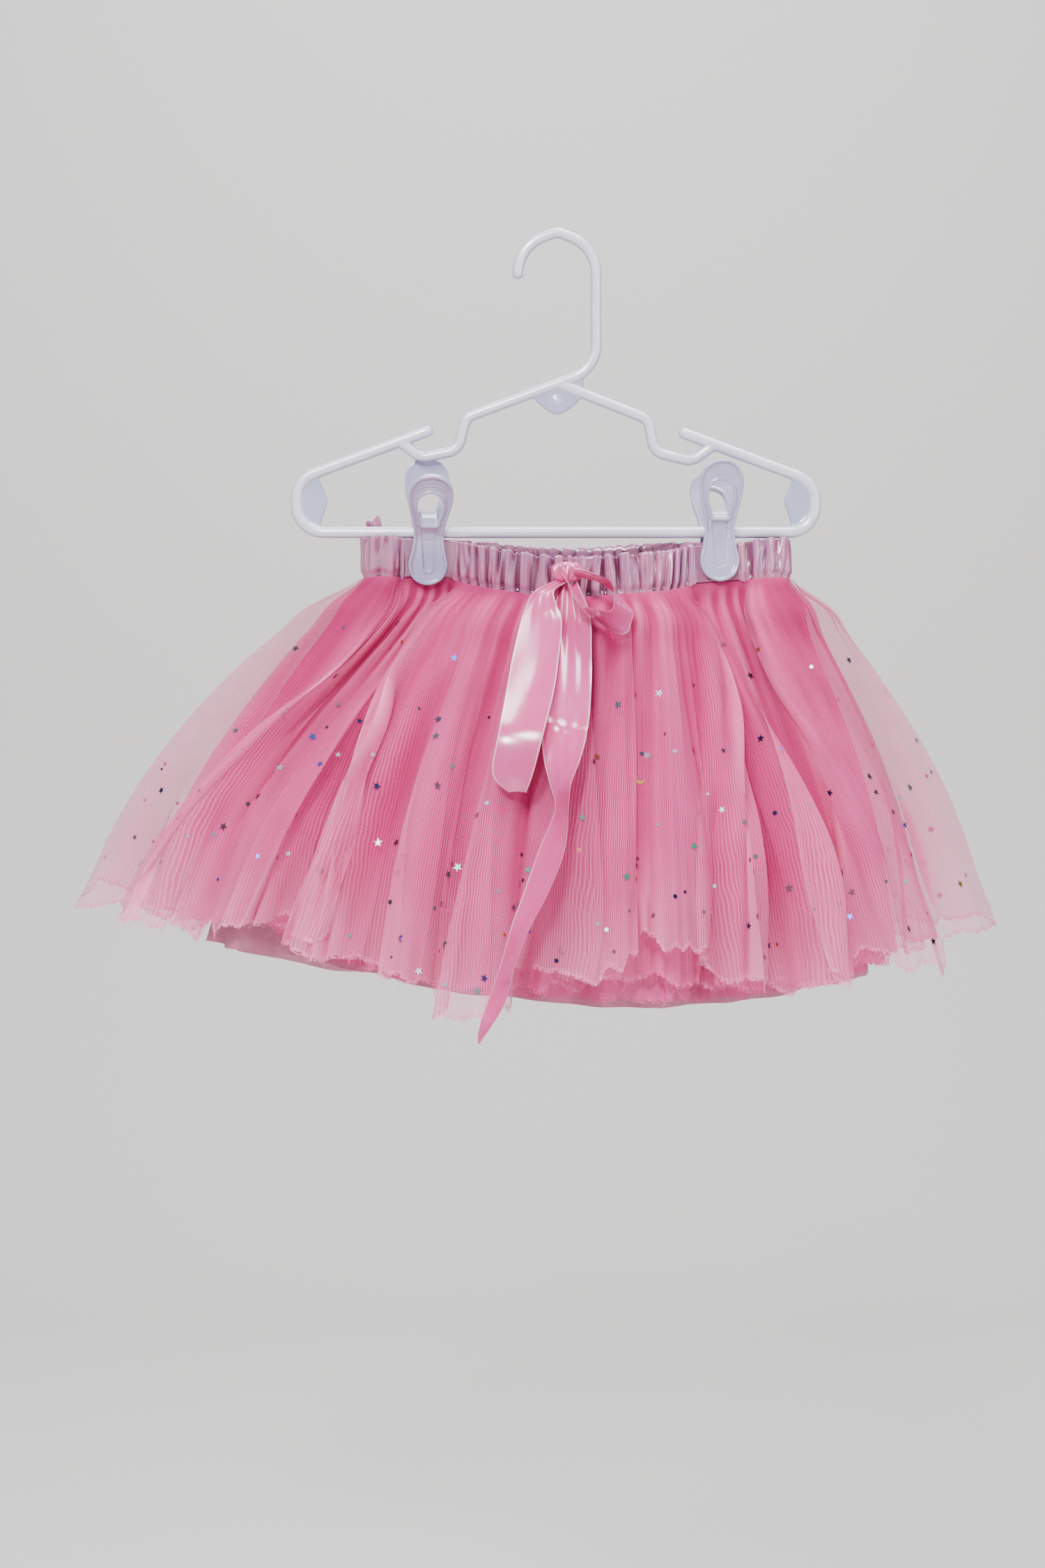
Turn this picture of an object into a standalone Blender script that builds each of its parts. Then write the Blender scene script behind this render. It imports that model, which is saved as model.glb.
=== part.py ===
"""A child's tutu skirt, hung by two clips from a small plastic hanger.

Metres, +Z up. The front faces -Y. The origin is the inside top of the hanger's hook, where
the rail carries it. The skirt is a ruched satin casing over three open-ended cloth walls that
flare from it: a satin lining, a plain tulle layer and an outer tulle layer. Each wall is a ring
of folds, lofted from the pinched waist to its own hem. A ribbon bow is sewn to the front.
"""

import math
from collections import namedtuple

import bmesh
import bpy
from mathutils import Matrix, Vector

# Clearance left between pieces that touch, and between cloth edges that are sewn together
GAP = 0.0003
SEAM_GAP = 0.0005

# Hanger: a baby size, 290 mm wide over its ends
TUBE_RADIUS = 0.0031
BAR_RADIUS = 0.0033
HOOK_RADIUS = 0.0215
HOOK_CENTRE_Z = TUBE_RADIUS - HOOK_RADIUS
HOOK_STEPS = 12
BAR_Z = -0.1605
WEB_THICKNESS = 0.002
LEFT_END_SHIFT = -0.0013
ROUND_STEPS = 2
OUTLINE_STEPS = 4
DOME_ANGLES = tuple(math.radians(angle) for angle in (90, 60, 30))
DOME_TIP = 0.15

# Waist: the casing's inner face, seen from above, is three lobes between two pinches
CASING_HEIGHT = 0.020
CASING_WALL = 0.0040
PINCH_HALF = 0.0003
PINCH_HALF_WIDTH = 0.0125
PINCH_FADE = 0.012
GATHERS = 48
GATHER_POINTS = 4
GATHER_HEIGHT = 0.0009
CASING_STEP = 0.0025
WAIST_STEPS = 8

# How far down the casing, and how full its wall is there
CASING_ROWS = ((0.0, 0.80), (0.5, 1.00), (1.0, 0.88))

# Slow waves round the skirt that keep gathers and folds uneven: count, height and phase
GATHER_DRIFT = (6, 0.9, 0.0)
FOLD_DRIFTS = ((3, 0.55, 0.6), (7, 0.35, 0.0))
FOLD_SWELL = (5, 0.24, 2.1)

# Cloth walls of the skirt, and the folds that they share
CLOTH = 0.0010
LAYER_STEP = 0.0015
FOLDS = 24
FOLD_POINTS = 5
HEM_STEPS = 240

# Clips: each one moulding, pinned on the bar, with its jaws on the casing
JAW_LENGTH = 0.0282
LEVER_THICKNESS = 0.0032
HANDLE_SPLAY = math.radians(20)
TONGUE_WIDTH = 0.0090
TONGUE_THICKNESS = 0.0016
RIB_WIDTH = 0.005
RIB_HEIGHT = 0.003

# Ribbon of the bow
RIBBON_WIDTH = 0.025
RIBBON_THICKNESS = 0.0010
RIBBON_CLEARANCE = 0.0008
NEAR = 0.005

# A corner of a bent rod in the hanger's plane, with the radius of its bend
Corner = namedtuple("Corner", "x z bend")

STEM_AND_LEFT_SHOULDER = (
    Corner(0.0215, -0.0707, 0.0190),
    Corner(-0.0500, -0.0975, 0.0080),
    Corner(-0.0545, -0.1155, 0.0085),
    Corner(-0.0750, -0.1195, 0.0090),
    Corner(-0.0865, -0.1106, 0.0),
)

RIGHT_SHOULDER = (
    Corner(0.0035, -0.0800, 0.0),
    Corner(0.0500, -0.0984, 0.0080),
    Corner(0.0535, -0.1165, 0.0085),
    Corner(0.0740, -0.1215, 0.0090),
    Corner(0.0865, -0.1124, 0.0),
)

ARMS_AND_BAR = (
    Corner(-0.0713, -0.1049, 0.0),
    Corner(-0.1431, -0.1318, 0.0150),
    Corner(-0.1431, BAR_Z, 0.0150),
    Corner(0.1418, BAR_Z, 0.0145),
    Corner(0.1418, -0.1331, 0.0150),
    Corner(0.0701, -0.1062, 0.0),
)

# Outlines of the thin webs, as x and z
MIDDLE_WEB = (
    (-0.0130, -0.0840),
    (-0.0085, -0.0912),
    (0.0000, -0.0959),
    (0.0090, -0.0912),
    (0.0137, -0.0850),
    (0.0137, -0.0735),
    (0.0035, -0.0775),
)
END_WEB = (
    (0.1380, -0.1340),
    (0.1305, -0.1310),
    (0.1270, -0.1370),
    (0.1248, -0.1435),
    (0.1270, -0.1510),
    (0.1305, -0.1590),
    (0.1380, -0.1590),
    (0.1412, -0.1510),
    (0.1415, -0.1410),
)

# A clip's lever from the front: how far up from the bar, and how far out from the middle
LEVER_OUTLINE = (
    (-0.0282, 0.0000),
    (-0.0250, 0.0077),
    (-0.0173, 0.0108),
    (-0.0085, 0.0092),
    (0.0010, 0.0082),
    (0.0100, 0.0094),
    (0.0215, 0.0119),
    (0.0315, 0.0117),
    (0.0380, 0.0070),
    (0.0400, 0.0000),
)
KEYHOLE_OUTLINE = (
    (0.0073, 0.0000),
    (0.0075, 0.0042),
    (0.0110, 0.0048),
    (0.0195, 0.0069),
    (0.0255, 0.0056),
    (0.0285, 0.0000),
)

# The spring tongue over the bar, from the side: how far back, and how far up from the bar
TONGUE_PATH = (
    (-0.0085, 0.0068),
    (-0.0070, 0.0094),
    (-0.0030, 0.0112),
    (0.0030, 0.0112),
    (0.0070, 0.0094),
    (0.0085, 0.0068),
)

Clip = namedtuple("Clip", "name x tilt yaw")

CLIPS = (
    Clip("clip_left", -0.0710, math.radians(20), math.radians(6)),
    Clip("clip_right", 0.0880, math.radians(-4), math.radians(6)),
)

# The waist from left to right: the casing's inner half depth, its two top edges, and how far
# a frill of the back edge stands above that line
Waist = namedtuple("Waist", "x half_depth front_top back_top frill")

WAIST = (
    Waist(-0.1033, 0.0000, -0.1646, -0.1646, 0.0000),
    Waist(-0.1020, 0.0040, -0.1644, -0.1644, 0.0010),
    Waist(-0.0970, 0.0066, -0.1642, -0.1642, 0.0070),
    Waist(-0.0900, 0.0052, -0.1643, -0.1643, 0.0034),
    Waist(-0.0845, 0.0003, -0.1646, -0.1646, 0.0000),
    Waist(-0.0580, 0.0003, -0.1652, -0.1650, 0.0000),
    Waist(-0.0500, 0.0040, -0.1672, -0.1652, 0.0000),
    Waist(-0.0350, 0.0130, -0.1710, -0.1659, 0.0000),
    Waist(-0.0100, 0.0195, -0.1752, -0.1678, 0.0000),
    Waist(0.0120, 0.0210, -0.1766, -0.1682, 0.0000),
    Waist(0.0350, 0.0185, -0.1750, -0.1668, 0.0000),
    Waist(0.0580, 0.0100, -0.1726, -0.1662, 0.0000),
    Waist(0.0740, 0.0006, -0.1690, -0.1664, 0.0000),
    Waist(0.1010, 0.0003, -0.1668, -0.1662, 0.0000),
    Waist(0.1080, 0.0035, -0.1662, -0.1656, 0.0000),
    Waist(0.1160, 0.0072, -0.1656, -0.1652, 0.0000),
    Waist(0.1215, 0.0060, -0.1652, -0.1652, 0.0000),
    Waist(0.1240, 0.0000, -0.1654, -0.1654, 0.0000),
)

# The plan of the lining's hem, an oval from the waist's middle plane
HEM_LEFT = -0.188
HEM_RIGHT = 0.168
HEM_FRONT = 0.068
HEM_BACK = 0.064

# One cloth wall: its place in the stack, how far its hem stands outside the lining's at the two
# ends and at the front and back, the height of its folds, and its hem's heights
Layer = namedtuple("Layer", "name place end_spread middle_spread fold_height hem")
# A height of the hem at a part of the way round: 0 left, 0.25 front, 0.5 right, 0.75 back
Hem = namedtuple("Hem", "turn z")

LAYERS = (
    Layer(
        "lining", 0, 0.0, 0.0, 0.0050,
        (Hem(0.0, -0.388), Hem(0.12, -0.408), Hem(0.25, -0.416), Hem(0.38, -0.410),
         Hem(0.5, -0.398), Hem(0.75, -0.414)),
    ),
    Layer(
        "tulle_under", 1, 0.012, 0.020, 0.0080,
        (Hem(0.0, -0.380), Hem(0.12, -0.402), Hem(0.25, -0.410), Hem(0.38, -0.402),
         Hem(0.5, -0.390), Hem(0.75, -0.406)),
    ),
    Layer(
        "tulle_outer", 2, 0.058, 0.044, 0.0130,
        (Hem(0.0, -0.361), Hem(0.12, -0.392), Hem(0.25, -0.379), Hem(0.36, -0.392),
         Hem(0.5, -0.372), Hem(0.75, -0.386)),
    ),
)

# Rows down the walls: part of the drop, part of the lining's reach, part of each outer layer's
# spread, part of the folds' height, and how much of the clips' pinch is left
Row = namedtuple("Row", "drop reach lining tulle_under tulle_outer fold pinch")

ROWS = (
    Row(0.000, 0.000, 0.0, 0.00, 0.00, 0.03, 1.00),
    Row(0.035, 0.055, 0.0, 0.05, 0.08, 0.06, 1.00),
    Row(0.120, 0.170, 0.0, 0.22, 0.27, 0.15, 0.50),
    Row(0.320, 0.420, 0.0, 0.55, 0.50, 0.38, 0.12),
    Row(0.620, 0.740, 0.0, 0.85, 0.77, 0.70, 0.00),
    Row(1.000, 1.000, 0.0, 1.00, 1.00, 1.00, 0.00),
)

# The ribbon: places down a tail, its width there and how far it is turned from facing front
Tail = namedtuple("Tail", "x z width turn")

TAIL_FRONT = (
    Tail(0.0020, -0.1896, 0.0060, 0),
    Tail(-0.0075, -0.1960, 0.0110, -10),
    Tail(-0.0090, -0.2040, 0.0170, -10),
    Tail(-0.0090, -0.2130, 0.0220, -6),
    Tail(-0.0122, -0.2330, 0.0245, 0),
    Tail(-0.0152, -0.2515, 0.0250, 4),
    Tail(-0.0197, -0.2720, 0.0235, 8),
    Tail(-0.0240, -0.2930, 0.0215, 12),
    Tail(-0.0215, -0.3030, 0.0090, 12),
)

TAIL_BACK = (
    Tail(0.0050, -0.1899, 0.0120, 0),
    Tail(0.0050, -0.2080, 0.0240, 0),
    Tail(0.0050, -0.2280, 0.0250, 0),
    Tail(0.0045, -0.2480, 0.0250, 5),
    Tail(0.0030, -0.2680, 0.0245, 12),
    Tail(0.0015, -0.2850, 0.0240, 38),
    Tail(0.0005, -0.2990, 0.0240, 62),
    Tail(0.0005, -0.3120, 0.0240, 72),
    Tail(-0.0045, -0.3320, 0.0240, 60),
    Tail(-0.0120, -0.3530, 0.0240, 62),
    Tail(-0.0200, -0.3710, 0.0240, 66),
    Tail(-0.0265, -0.3890, 0.0235, 70),
    Tail(-0.0315, -0.4060, 0.0200, 66),
    Tail(-0.0375, -0.4200, 0.0100, 60),
    Tail(-0.0410, -0.4290, 0.0020, 60),
)

# The bow's loop: its near edge, and the part of the ribbon's full width that stands behind it
Loop = namedtuple("Loop", "x z width")

LOOP = (
    Loop(0.0085, -0.1835, 0.20),
    Loop(0.0170, -0.1860, 0.50),
    Loop(0.0245, -0.1895, 0.85),
    Loop(0.0288, -0.1955, 1.00),
    Loop(0.0292, -0.2020, 1.00),
    Loop(0.0262, -0.2082, 1.00),
    Loop(0.0185, -0.2075, 0.95),
    Loop(0.0100, -0.2020, 0.80),
    Loop(0.0045, -0.1925, 0.55),
    Loop(0.0010, -0.1845, 0.20),
)
LOOP_ACROSS = Vector((0.0100, 0.0190, -0.0105))

# The knot, whose back sits this far into the dip between two gathers of the casing
KNOT_CENTRE_X = 0.0050
KNOT_CENTRE_Z = -0.1842
KNOT_HALF_WIDTH = 0.0062
KNOT_HALF_HEIGHT = 0.0052
KNOT_HALF_DEPTH = 0.0040
KNOT_SEAT = 0.0008

HANGER_WHITE = (0.85, 0.86, 0.90, 1)
CLIP_WHITE = (0.72, 0.74, 0.86, 1)
CASING_LILAC = (0.63, 0.34, 0.48, 1)
TULLE_PINK = (0.88, 0.33, 0.50, 1)
UNDER_PINK = (0.90, 0.27, 0.46, 1)
LINING_PINK = (0.85, 0.36, 0.50, 1)
RIBBON_PINK = (0.86, 0.40, 0.52, 1)


def clear_scene():
    for item in list(bpy.data.objects):
        bpy.data.objects.remove(item, do_unlink=True)


def new_collection(name, hidden):
    collection = bpy.data.collections.new(name)
    bpy.context.scene.collection.children.link(collection)
    collection.hide_render = hidden
    return collection


def material(name, colour, roughness, alpha=1.0):
    made = bpy.data.materials.new(name)
    made.use_nodes = True
    shader = made.node_tree.nodes["Principled BSDF"]
    shader.inputs["Base Color"].default_value = colour
    shader.inputs["Roughness"].default_value = roughness
    shader.inputs["Metallic"].default_value = 0.0
    shader.inputs["Alpha"].default_value = alpha
    return made


def place(name, mesh, collection, finish=None):
    """An object of this mesh in the collection; without a finish it is a helper."""
    item = bpy.data.objects.new(name, mesh)
    collection.objects.link(item)
    if finish:
        mesh.materials.append(finish)
    else:
        item.hide_render = True
        item.display_type = "WIRE"
    return item


def unite(base, others):
    for other in others:
        join = base.modifiers.new("join", "BOOLEAN")
        join.operation = "UNION"
        join.solver = "EXACT"
        join.object = other


def smooth_step(t):
    t = min(max(t, 0.0), 1.0)
    return t * t * (3 - 2 * t)


def mesh_of_curve(curve):
    """The curve's solid as a mesh, with its caps welded on."""
    guide = bpy.data.objects.new("guide", curve)
    bpy.context.scene.collection.objects.link(guide)
    bpy.context.view_layer.update()
    graph = bpy.context.evaluated_depsgraph_get()
    mesh = bpy.data.meshes.new_from_object(guide.evaluated_get(graph))
    bpy.data.objects.remove(guide, do_unlink=True)
    shape = bmesh.new()
    shape.from_mesh(mesh)
    bmesh.ops.remove_doubles(shape, verts=shape.verts, dist=1e-6)
    bmesh.ops.recalc_face_normals(shape, faces=shape.faces)
    shape.to_mesh(mesh)
    shape.free()
    return mesh


def bent_path(corners, arc_step=math.radians(15)):
    """Points of a rod in the XZ plane that turns each corner on its bend radius."""
    spots = [Vector((corner.x, 0, corner.z)) for corner in corners]
    path = [spots[0]]
    for before, spot, after, corner in zip(spots, spots[1:], spots[2:], corners[1:]):
        inward = (spot - before).normalized()
        outward = (after - spot).normalized()
        turn = inward.angle(outward)
        reach = corner.bend * math.tan(turn / 2)
        start = spot - inward * reach
        side = (outward - inward * inward.dot(outward)).normalized()
        middle = start + side * corner.bend
        steps = max(2, round(turn / arc_step))
        for step in range(steps + 1):
            angle = turn * step / steps
            path.append(middle + corner.bend * (inward * math.sin(angle) - side * math.cos(angle)))
    path.append(spots[-1])
    return path


def dome_end(end, before, radius):
    """A dome beyond a rod's end, from its tip inwards: each point and its part of the radius."""
    away = (end - before).normalized() * radius
    return [(end + away * math.sin(a), max(math.cos(a), DOME_TIP)) for a in DOME_ANGLES]


def rod_mesh(path, radius, domes=(False, False)):
    """A tube along the path, with a dome on its first and last end where asked."""
    places = [(spot, 1.0) for spot in path]
    if domes[0]:
        places = dome_end(path[0], path[1], radius) + places
    if domes[1]:
        places = places + dome_end(path[-1], path[-2], radius)[::-1]
    curve = bpy.data.curves.new("rod", "CURVE")
    curve.dimensions = "3D"
    curve.bevel_depth = radius
    curve.bevel_resolution = ROUND_STEPS
    curve.use_fill_caps = True
    spline = curve.splines.new("POLY")
    spline.points.add(len(places) - 1)
    for point, (spot, size) in zip(spline.points, places):
        point.co = (*spot, 1)
        point.radius = size
    return mesh_of_curve(curve)


def plate_mesh(outlines, thickness):
    """A flat plate in the XZ plane, centred on it, from smooth closed outlines of x and z."""
    curve = bpy.data.curves.new("plate", "CURVE")
    curve.dimensions = "2D"
    curve.fill_mode = "BOTH"
    curve.extrude = thickness / 2
    curve.resolution_u = OUTLINE_STEPS
    for outline in outlines:
        spline = curve.splines.new("BEZIER")
        spline.bezier_points.add(len(outline) - 1)
        spline.use_cyclic_u = True
        for point, (x, z) in zip(spline.bezier_points, outline):
            point.co = (x, z, 0)
            point.handle_left_type = "AUTO"
            point.handle_right_type = "AUTO"
    mesh = mesh_of_curve(curve)
    mesh.transform(Matrix.Rotation(math.radians(90), 4, "X"))
    return mesh


def build_hanger(parts, helpers, finish):
    """Hook, shoulders, notches, arms, bar and webs, moulded in one."""
    hook = []
    for step in range(HOOK_STEPS + 1):
        angle = math.pi * (1 - step / HOOK_STEPS)
        up = HOOK_CENTRE_Z + HOOK_RADIUS * math.sin(angle)
        hook.append(Vector((HOOK_RADIUS * math.cos(angle), 0, up)))
    spine = hook[:-1] + bent_path([Corner(hook[-1].x, hook[-1].z, 0), *STEM_AND_LEFT_SHOULDER])
    hanger = place("hanger", rod_mesh(spine, TUBE_RADIUS, (True, False)), parts, finish)
    pieces = [
        rod_mesh(bent_path(ARMS_AND_BAR), BAR_RADIUS, (True, True)),
        rod_mesh(bent_path(RIGHT_SHOULDER), TUBE_RADIUS),
        plate_mesh([MIDDLE_WEB], WEB_THICKNESS),
        plate_mesh([END_WEB], WEB_THICKNESS),
        plate_mesh([[(LEFT_END_SHIFT - x, z) for x, z in END_WEB]], WEB_THICKNESS),
    ]
    unite(hanger, [place("hanger_piece", mesh, helpers) for mesh in pieces])


def mirrored(half):
    """A closed outline of x and z from one side's heights and half widths."""
    right = [(out, up) for up, out in half]
    left = [(-out, up) for up, out in reversed(half[1:-1])]
    return right + left


def lever_mesh(jaw_half, side):
    """A keyhole lever: an upright jaw below the bar and a handle splayed outwards above it."""
    outlines = [mirrored(LEVER_OUTLINE), mirrored(KEYHOLE_OUTLINE)]
    mesh = plate_mesh(outlines, LEVER_THICKNESS)
    inner = side * jaw_half
    mesh.transform(Matrix.Translation((0, inner + side * LEVER_THICKNESS / 2, 0)))
    shape = bmesh.new()
    shape.from_mesh(mesh)
    everything = shape.verts[:] + shape.edges[:] + shape.faces[:]
    bmesh.ops.bisect_plane(shape, geom=everything, dist=1e-6, plane_co=(0, 0, 0), plane_no=(0, 0, 1))
    above = [vert for vert in shape.verts if vert.co.z > 1e-6]
    turn = Matrix.Rotation(-side * HANDLE_SPLAY, 3, "X")
    bmesh.ops.rotate(shape, cent=(0, inner, 0), matrix=turn, verts=above)
    bmesh.ops.recalc_face_normals(shape, faces=shape.faces)
    shape.to_mesh(mesh)
    shape.free()
    return mesh


def band_mesh(name, spots, acrosses, thickness):
    """A flat band of cloth or plastic through these spots, each with its vector across."""
    count = len(spots)
    shape = bmesh.new()
    sections = []
    for index, (spot, across) in enumerate(zip(spots, acrosses)):
        along = spots[min(index + 1, count - 1)] - spots[max(index - 1, 0)]
        out = across.cross(along).normalized() * thickness / 2
        corners = (
            spot - across / 2 - out,
            spot + across / 2 - out,
            spot + across / 2 + out,
            spot - across / 2 + out,
        )
        sections.append([shape.verts.new(corner) for corner in corners])
    for first, second in zip(sections, sections[1:]):
        for a in range(4):
            b = (a + 1) % 4
            shape.faces.new((first[a], first[b], second[b], second[a]))
    shape.faces.new(reversed(sections[0]))
    shape.faces.new(sections[-1])
    bmesh.ops.recalc_face_normals(shape, faces=shape.faces)
    mesh = bpy.data.meshes.new(name)
    shape.to_mesh(mesh)
    shape.free()
    return mesh


def rib_mesh(jaw_half, yaw, side):
    """The small seat inside a lever, which bears on the bar."""
    clear = (BAR_RADIUS + GAP) / math.cos(yaw) + RIB_WIDTH / 2 * math.tan(yaw)
    depth = jaw_half + LEVER_THICKNESS / 2 - clear
    shape = bmesh.new()
    bmesh.ops.create_cube(shape, size=1)
    bmesh.ops.scale(shape, vec=(RIB_WIDTH, depth, RIB_HEIGHT), verts=shape.verts)
    middle = side * (clear + depth / 2)
    bmesh.ops.translate(shape, vec=(0, middle, -RIB_HEIGHT / 4), verts=shape.verts)
    mesh = bpy.data.meshes.new("rib")
    shape.to_mesh(mesh)
    shape.free()
    return mesh


def build_clip(clip, parts, helpers, finish):
    """Two levers and the tongue between them, turned as the clip hangs on the bar."""
    casing_half = PINCH_HALF + CASING_WALL
    jaw_half = casing_half * math.cos(clip.tilt) * math.cos(clip.yaw) + GAP
    turn = Matrix.Translation((clip.x, 0, BAR_Z))
    turn = turn @ Matrix.Rotation(clip.yaw, 4, "Z") @ Matrix.Rotation(clip.tilt, 4, "X")
    tongue_spots = [Vector((0, back, up)) for back, up in TONGUE_PATH]
    tongue_across = [Vector((TONGUE_WIDTH, 0, 0))] * len(tongue_spots)
    front, *others = [
        lever_mesh(jaw_half, -1),
        lever_mesh(jaw_half, 1),
        band_mesh("tongue", tongue_spots, tongue_across, TONGUE_THICKNESS),
        rib_mesh(jaw_half, clip.yaw, -1),
        rib_mesh(jaw_half, clip.yaw, 1),
    ]
    body = place(clip.name, front, parts, finish)
    body.matrix_world = turn
    added = [place(clip.name + "_piece", mesh, helpers) for mesh in others]
    for item in added:
        item.matrix_world = turn
    unite(body, added)


def pinch_at(x):
    """1 where a clip holds the waist flat, fading to 0 beside it."""
    held = 0.0
    for clip in CLIPS:
        beyond = abs(x - clip.x) - PINCH_HALF_WIDTH
        held = max(held, 1 - smooth_step(beyond / PINCH_FADE))
    return held


def middle_y(x, z):
    """How far back the waist's middle plane lies, as the two clips hold it."""
    left, right = CLIPS
    flat = PINCH_HALF_WIDTH
    part = smooth_step((x - left.x - flat) / (right.x - left.x - 2 * flat))
    slope = math.tan(left.tilt) * (1 - part) + math.tan(right.tilt) * part
    down = BAR_Z - z
    if down > JAW_LENGTH:
        down = JAW_LENGTH + CASING_WALL * (1 - math.exp((JAW_LENGTH - down) / CASING_WALL))
    turned = sum((x - clip.x) * math.tan(clip.yaw) * yaw_window(x - clip.x) for clip in CLIPS)
    return slope * down + turned


def yaw_window(away):
    return 1 - smooth_step((abs(away) - PINCH_HALF_WIDTH) / PINCH_FADE)


def curve_through(before, start, end, after, t):
    """Catmull-Rom value between start and end."""
    return 0.5 * (
        2 * start
        + (end - before) * t
        + (2 * before - 5 * start + 4 * end - after) * t * t
        + (3 * start - before - 3 * end + after) * t * t * t
    )


def waist_ring():
    """Fine points round the casing's inside: x, y from the middle plane, top edge and frill."""
    fine = []
    for index in range(len(WAIST) - 1):
        around = [WAIST[min(max(index + k, 0), len(WAIST) - 1)] for k in (-1, 0, 1, 2)]
        for step in range(WAIST_STEPS):
            t = step / WAIST_STEPS
            x, half_depth, *heights = [curve_through(*column, t) for column in zip(*around)]
            low = PINCH_HALF if fine else 0.0
            fine.append(Waist(x, max(half_depth, low), *heights))
    fine.append(WAIST[-1])
    front = [(spot.x, -spot.half_depth, spot.front_top, 0.0) for spot in fine]
    back = [(spot.x, spot.half_depth, spot.back_top, spot.frill) for spot in reversed(fine[1:-1])]
    return front + back


def resample(ring, count):
    """Evenly spaced values round a closed ring whose first two columns are its plan."""
    ends = ring[1:] + ring[:1]
    lengths = [math.dist(a[:2], b[:2]) for a, b in zip(ring, ends)]
    total = sum(lengths)
    found = []
    index = 0
    passed = 0.0
    for step in range(count):
        wanted = total * step / count
        while passed + lengths[index] < wanted:
            passed += lengths[index]
            index += 1
        t = (wanted - passed) / lengths[index]
        found.append(tuple(a + (b - a) * t for a, b in zip(ring[index], ends[index])))
    return found


def plan_normals(ring):
    """Unit vectors pointing out of a ring that runs left, front, right, back."""
    normals = []
    for index in range(len(ring)):
        before = ring[index - 1]
        after = ring[(index + 1) % len(ring)]
        along = Vector((after[0] - before[0], after[1] - before[1])).normalized()
        normals.append(Vector((along.y, -along.x)))
    return normals


def wall_mesh(name, inside, outside):
    """A closed wall between two lofts of rings, each a list of rows from top to bottom."""
    shape = bmesh.new()
    inner = [[shape.verts.new(spot) for spot in row] for row in inside]
    outer = [[shape.verts.new(spot) for spot in row] for row in outside]
    count = len(inside[0])
    for i in range(count):
        k = (i + 1) % count
        for upper, lower in zip(outer, outer[1:]):
            shape.faces.new((upper[i], lower[i], lower[k], upper[k]))
        for upper, lower in zip(inner, inner[1:]):
            shape.faces.new((upper[i], upper[k], lower[k], lower[i]))
        shape.faces.new((inner[0][i], outer[0][i], outer[0][k], inner[0][k]))
        shape.faces.new((outer[-1][i], inner[-1][i], inner[-1][k], outer[-1][k]))
    bmesh.ops.recalc_face_normals(shape, faces=shape.faces)
    mesh = bpy.data.meshes.new(name)
    shape.to_mesh(mesh)
    shape.free()
    return mesh


def build_casing(parts, finish):
    """The ruched casing: plain inside, with its gathers on the outer face, whose rows it gives."""
    ring = resample(waist_ring(), GATHERS * GATHER_POINTS)
    normals = plan_normals(ring)
    inside, outside = [], []
    for down, fullness in CASING_ROWS:
        inner_row, outer_row = [], []
        for index, ((x, y, top, frill), out) in enumerate(zip(ring, normals)):
            free = 1 - pinch_at(x)
            drift = round_wave(index / len(ring), GATHER_DRIFT)
            wave = math.cos(2 * math.pi * index / GATHER_POINTS + drift)
            z = top - down * CASING_HEIGHT
            if down == 0.0:
                z += frill + 0.5 * GATHER_HEIGHT * wave * free
            wall = CASING_WALL * (1 - free * (1 - fullness)) + GATHER_HEIGHT * wave * free
            back = middle_y(x, z)
            inner_row.append((x, y + back, z))
            outer_row.append((x + out.x * wall, y + out.y * wall + back, z))
        inside.append(inner_row)
        outside.append(outer_row)
    place("waistband", wall_mesh("waistband", inside, outside), parts, finish)
    return outside


def hem_plan(count):
    """The lining's hem in plan, evenly spaced from its left end round by the front."""
    middle = (HEM_LEFT + HEM_RIGHT) / 2
    half = (HEM_RIGHT - HEM_LEFT) / 2
    oval = []
    for step in range(HEM_STEPS):
        angle = 2 * math.pi * step / HEM_STEPS
        depth = HEM_FRONT if math.sin(angle) > 0 else HEM_BACK
        oval.append((middle - half * math.cos(angle), -depth * math.sin(angle)))
    return resample(oval, count)


def hem_height(layer, turn):
    """The hem's z at this part of the way round, eased between the layer's rows."""
    rows = [*layer.hem, Hem(1.0, layer.hem[0].z)]
    for start, end in zip(rows, rows[1:]):
        if turn <= end.turn:
            t = smooth_step((turn - start.turn) / (end.turn - start.turn))
            return start.z + (end.z - start.z) * t
    return rows[-1].z


def round_wave(turn, wave):
    count, height, phase = wave
    return height * math.sin(2 * math.pi * count * turn + phase)


def fold_wave(turn):
    """Height of the folds at this part of the way round, from -1 to 1, no two alike."""
    drift = sum(round_wave(turn, wave) for wave in FOLD_DRIFTS)
    size = 1 - FOLD_SWELL[1] + round_wave(turn, FOLD_SWELL)
    return size * math.cos(2 * math.pi * FOLDS * turn + drift)


def plan_row(row, waist, hems):
    """The lining's plan at this row, without its folds: each point and its way out."""
    points = []
    for (x, y, _, _), hem in zip(waist, hems):
        points.append(Vector((x, y)).lerp(Vector(hem), row.reach * free_at(x, row)))
    return points, plan_normals(points)


def free_at(x, row):
    """How far this row has come free of the clips' pinch."""
    return 1 - pinch_at(x) * row.pinch


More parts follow.
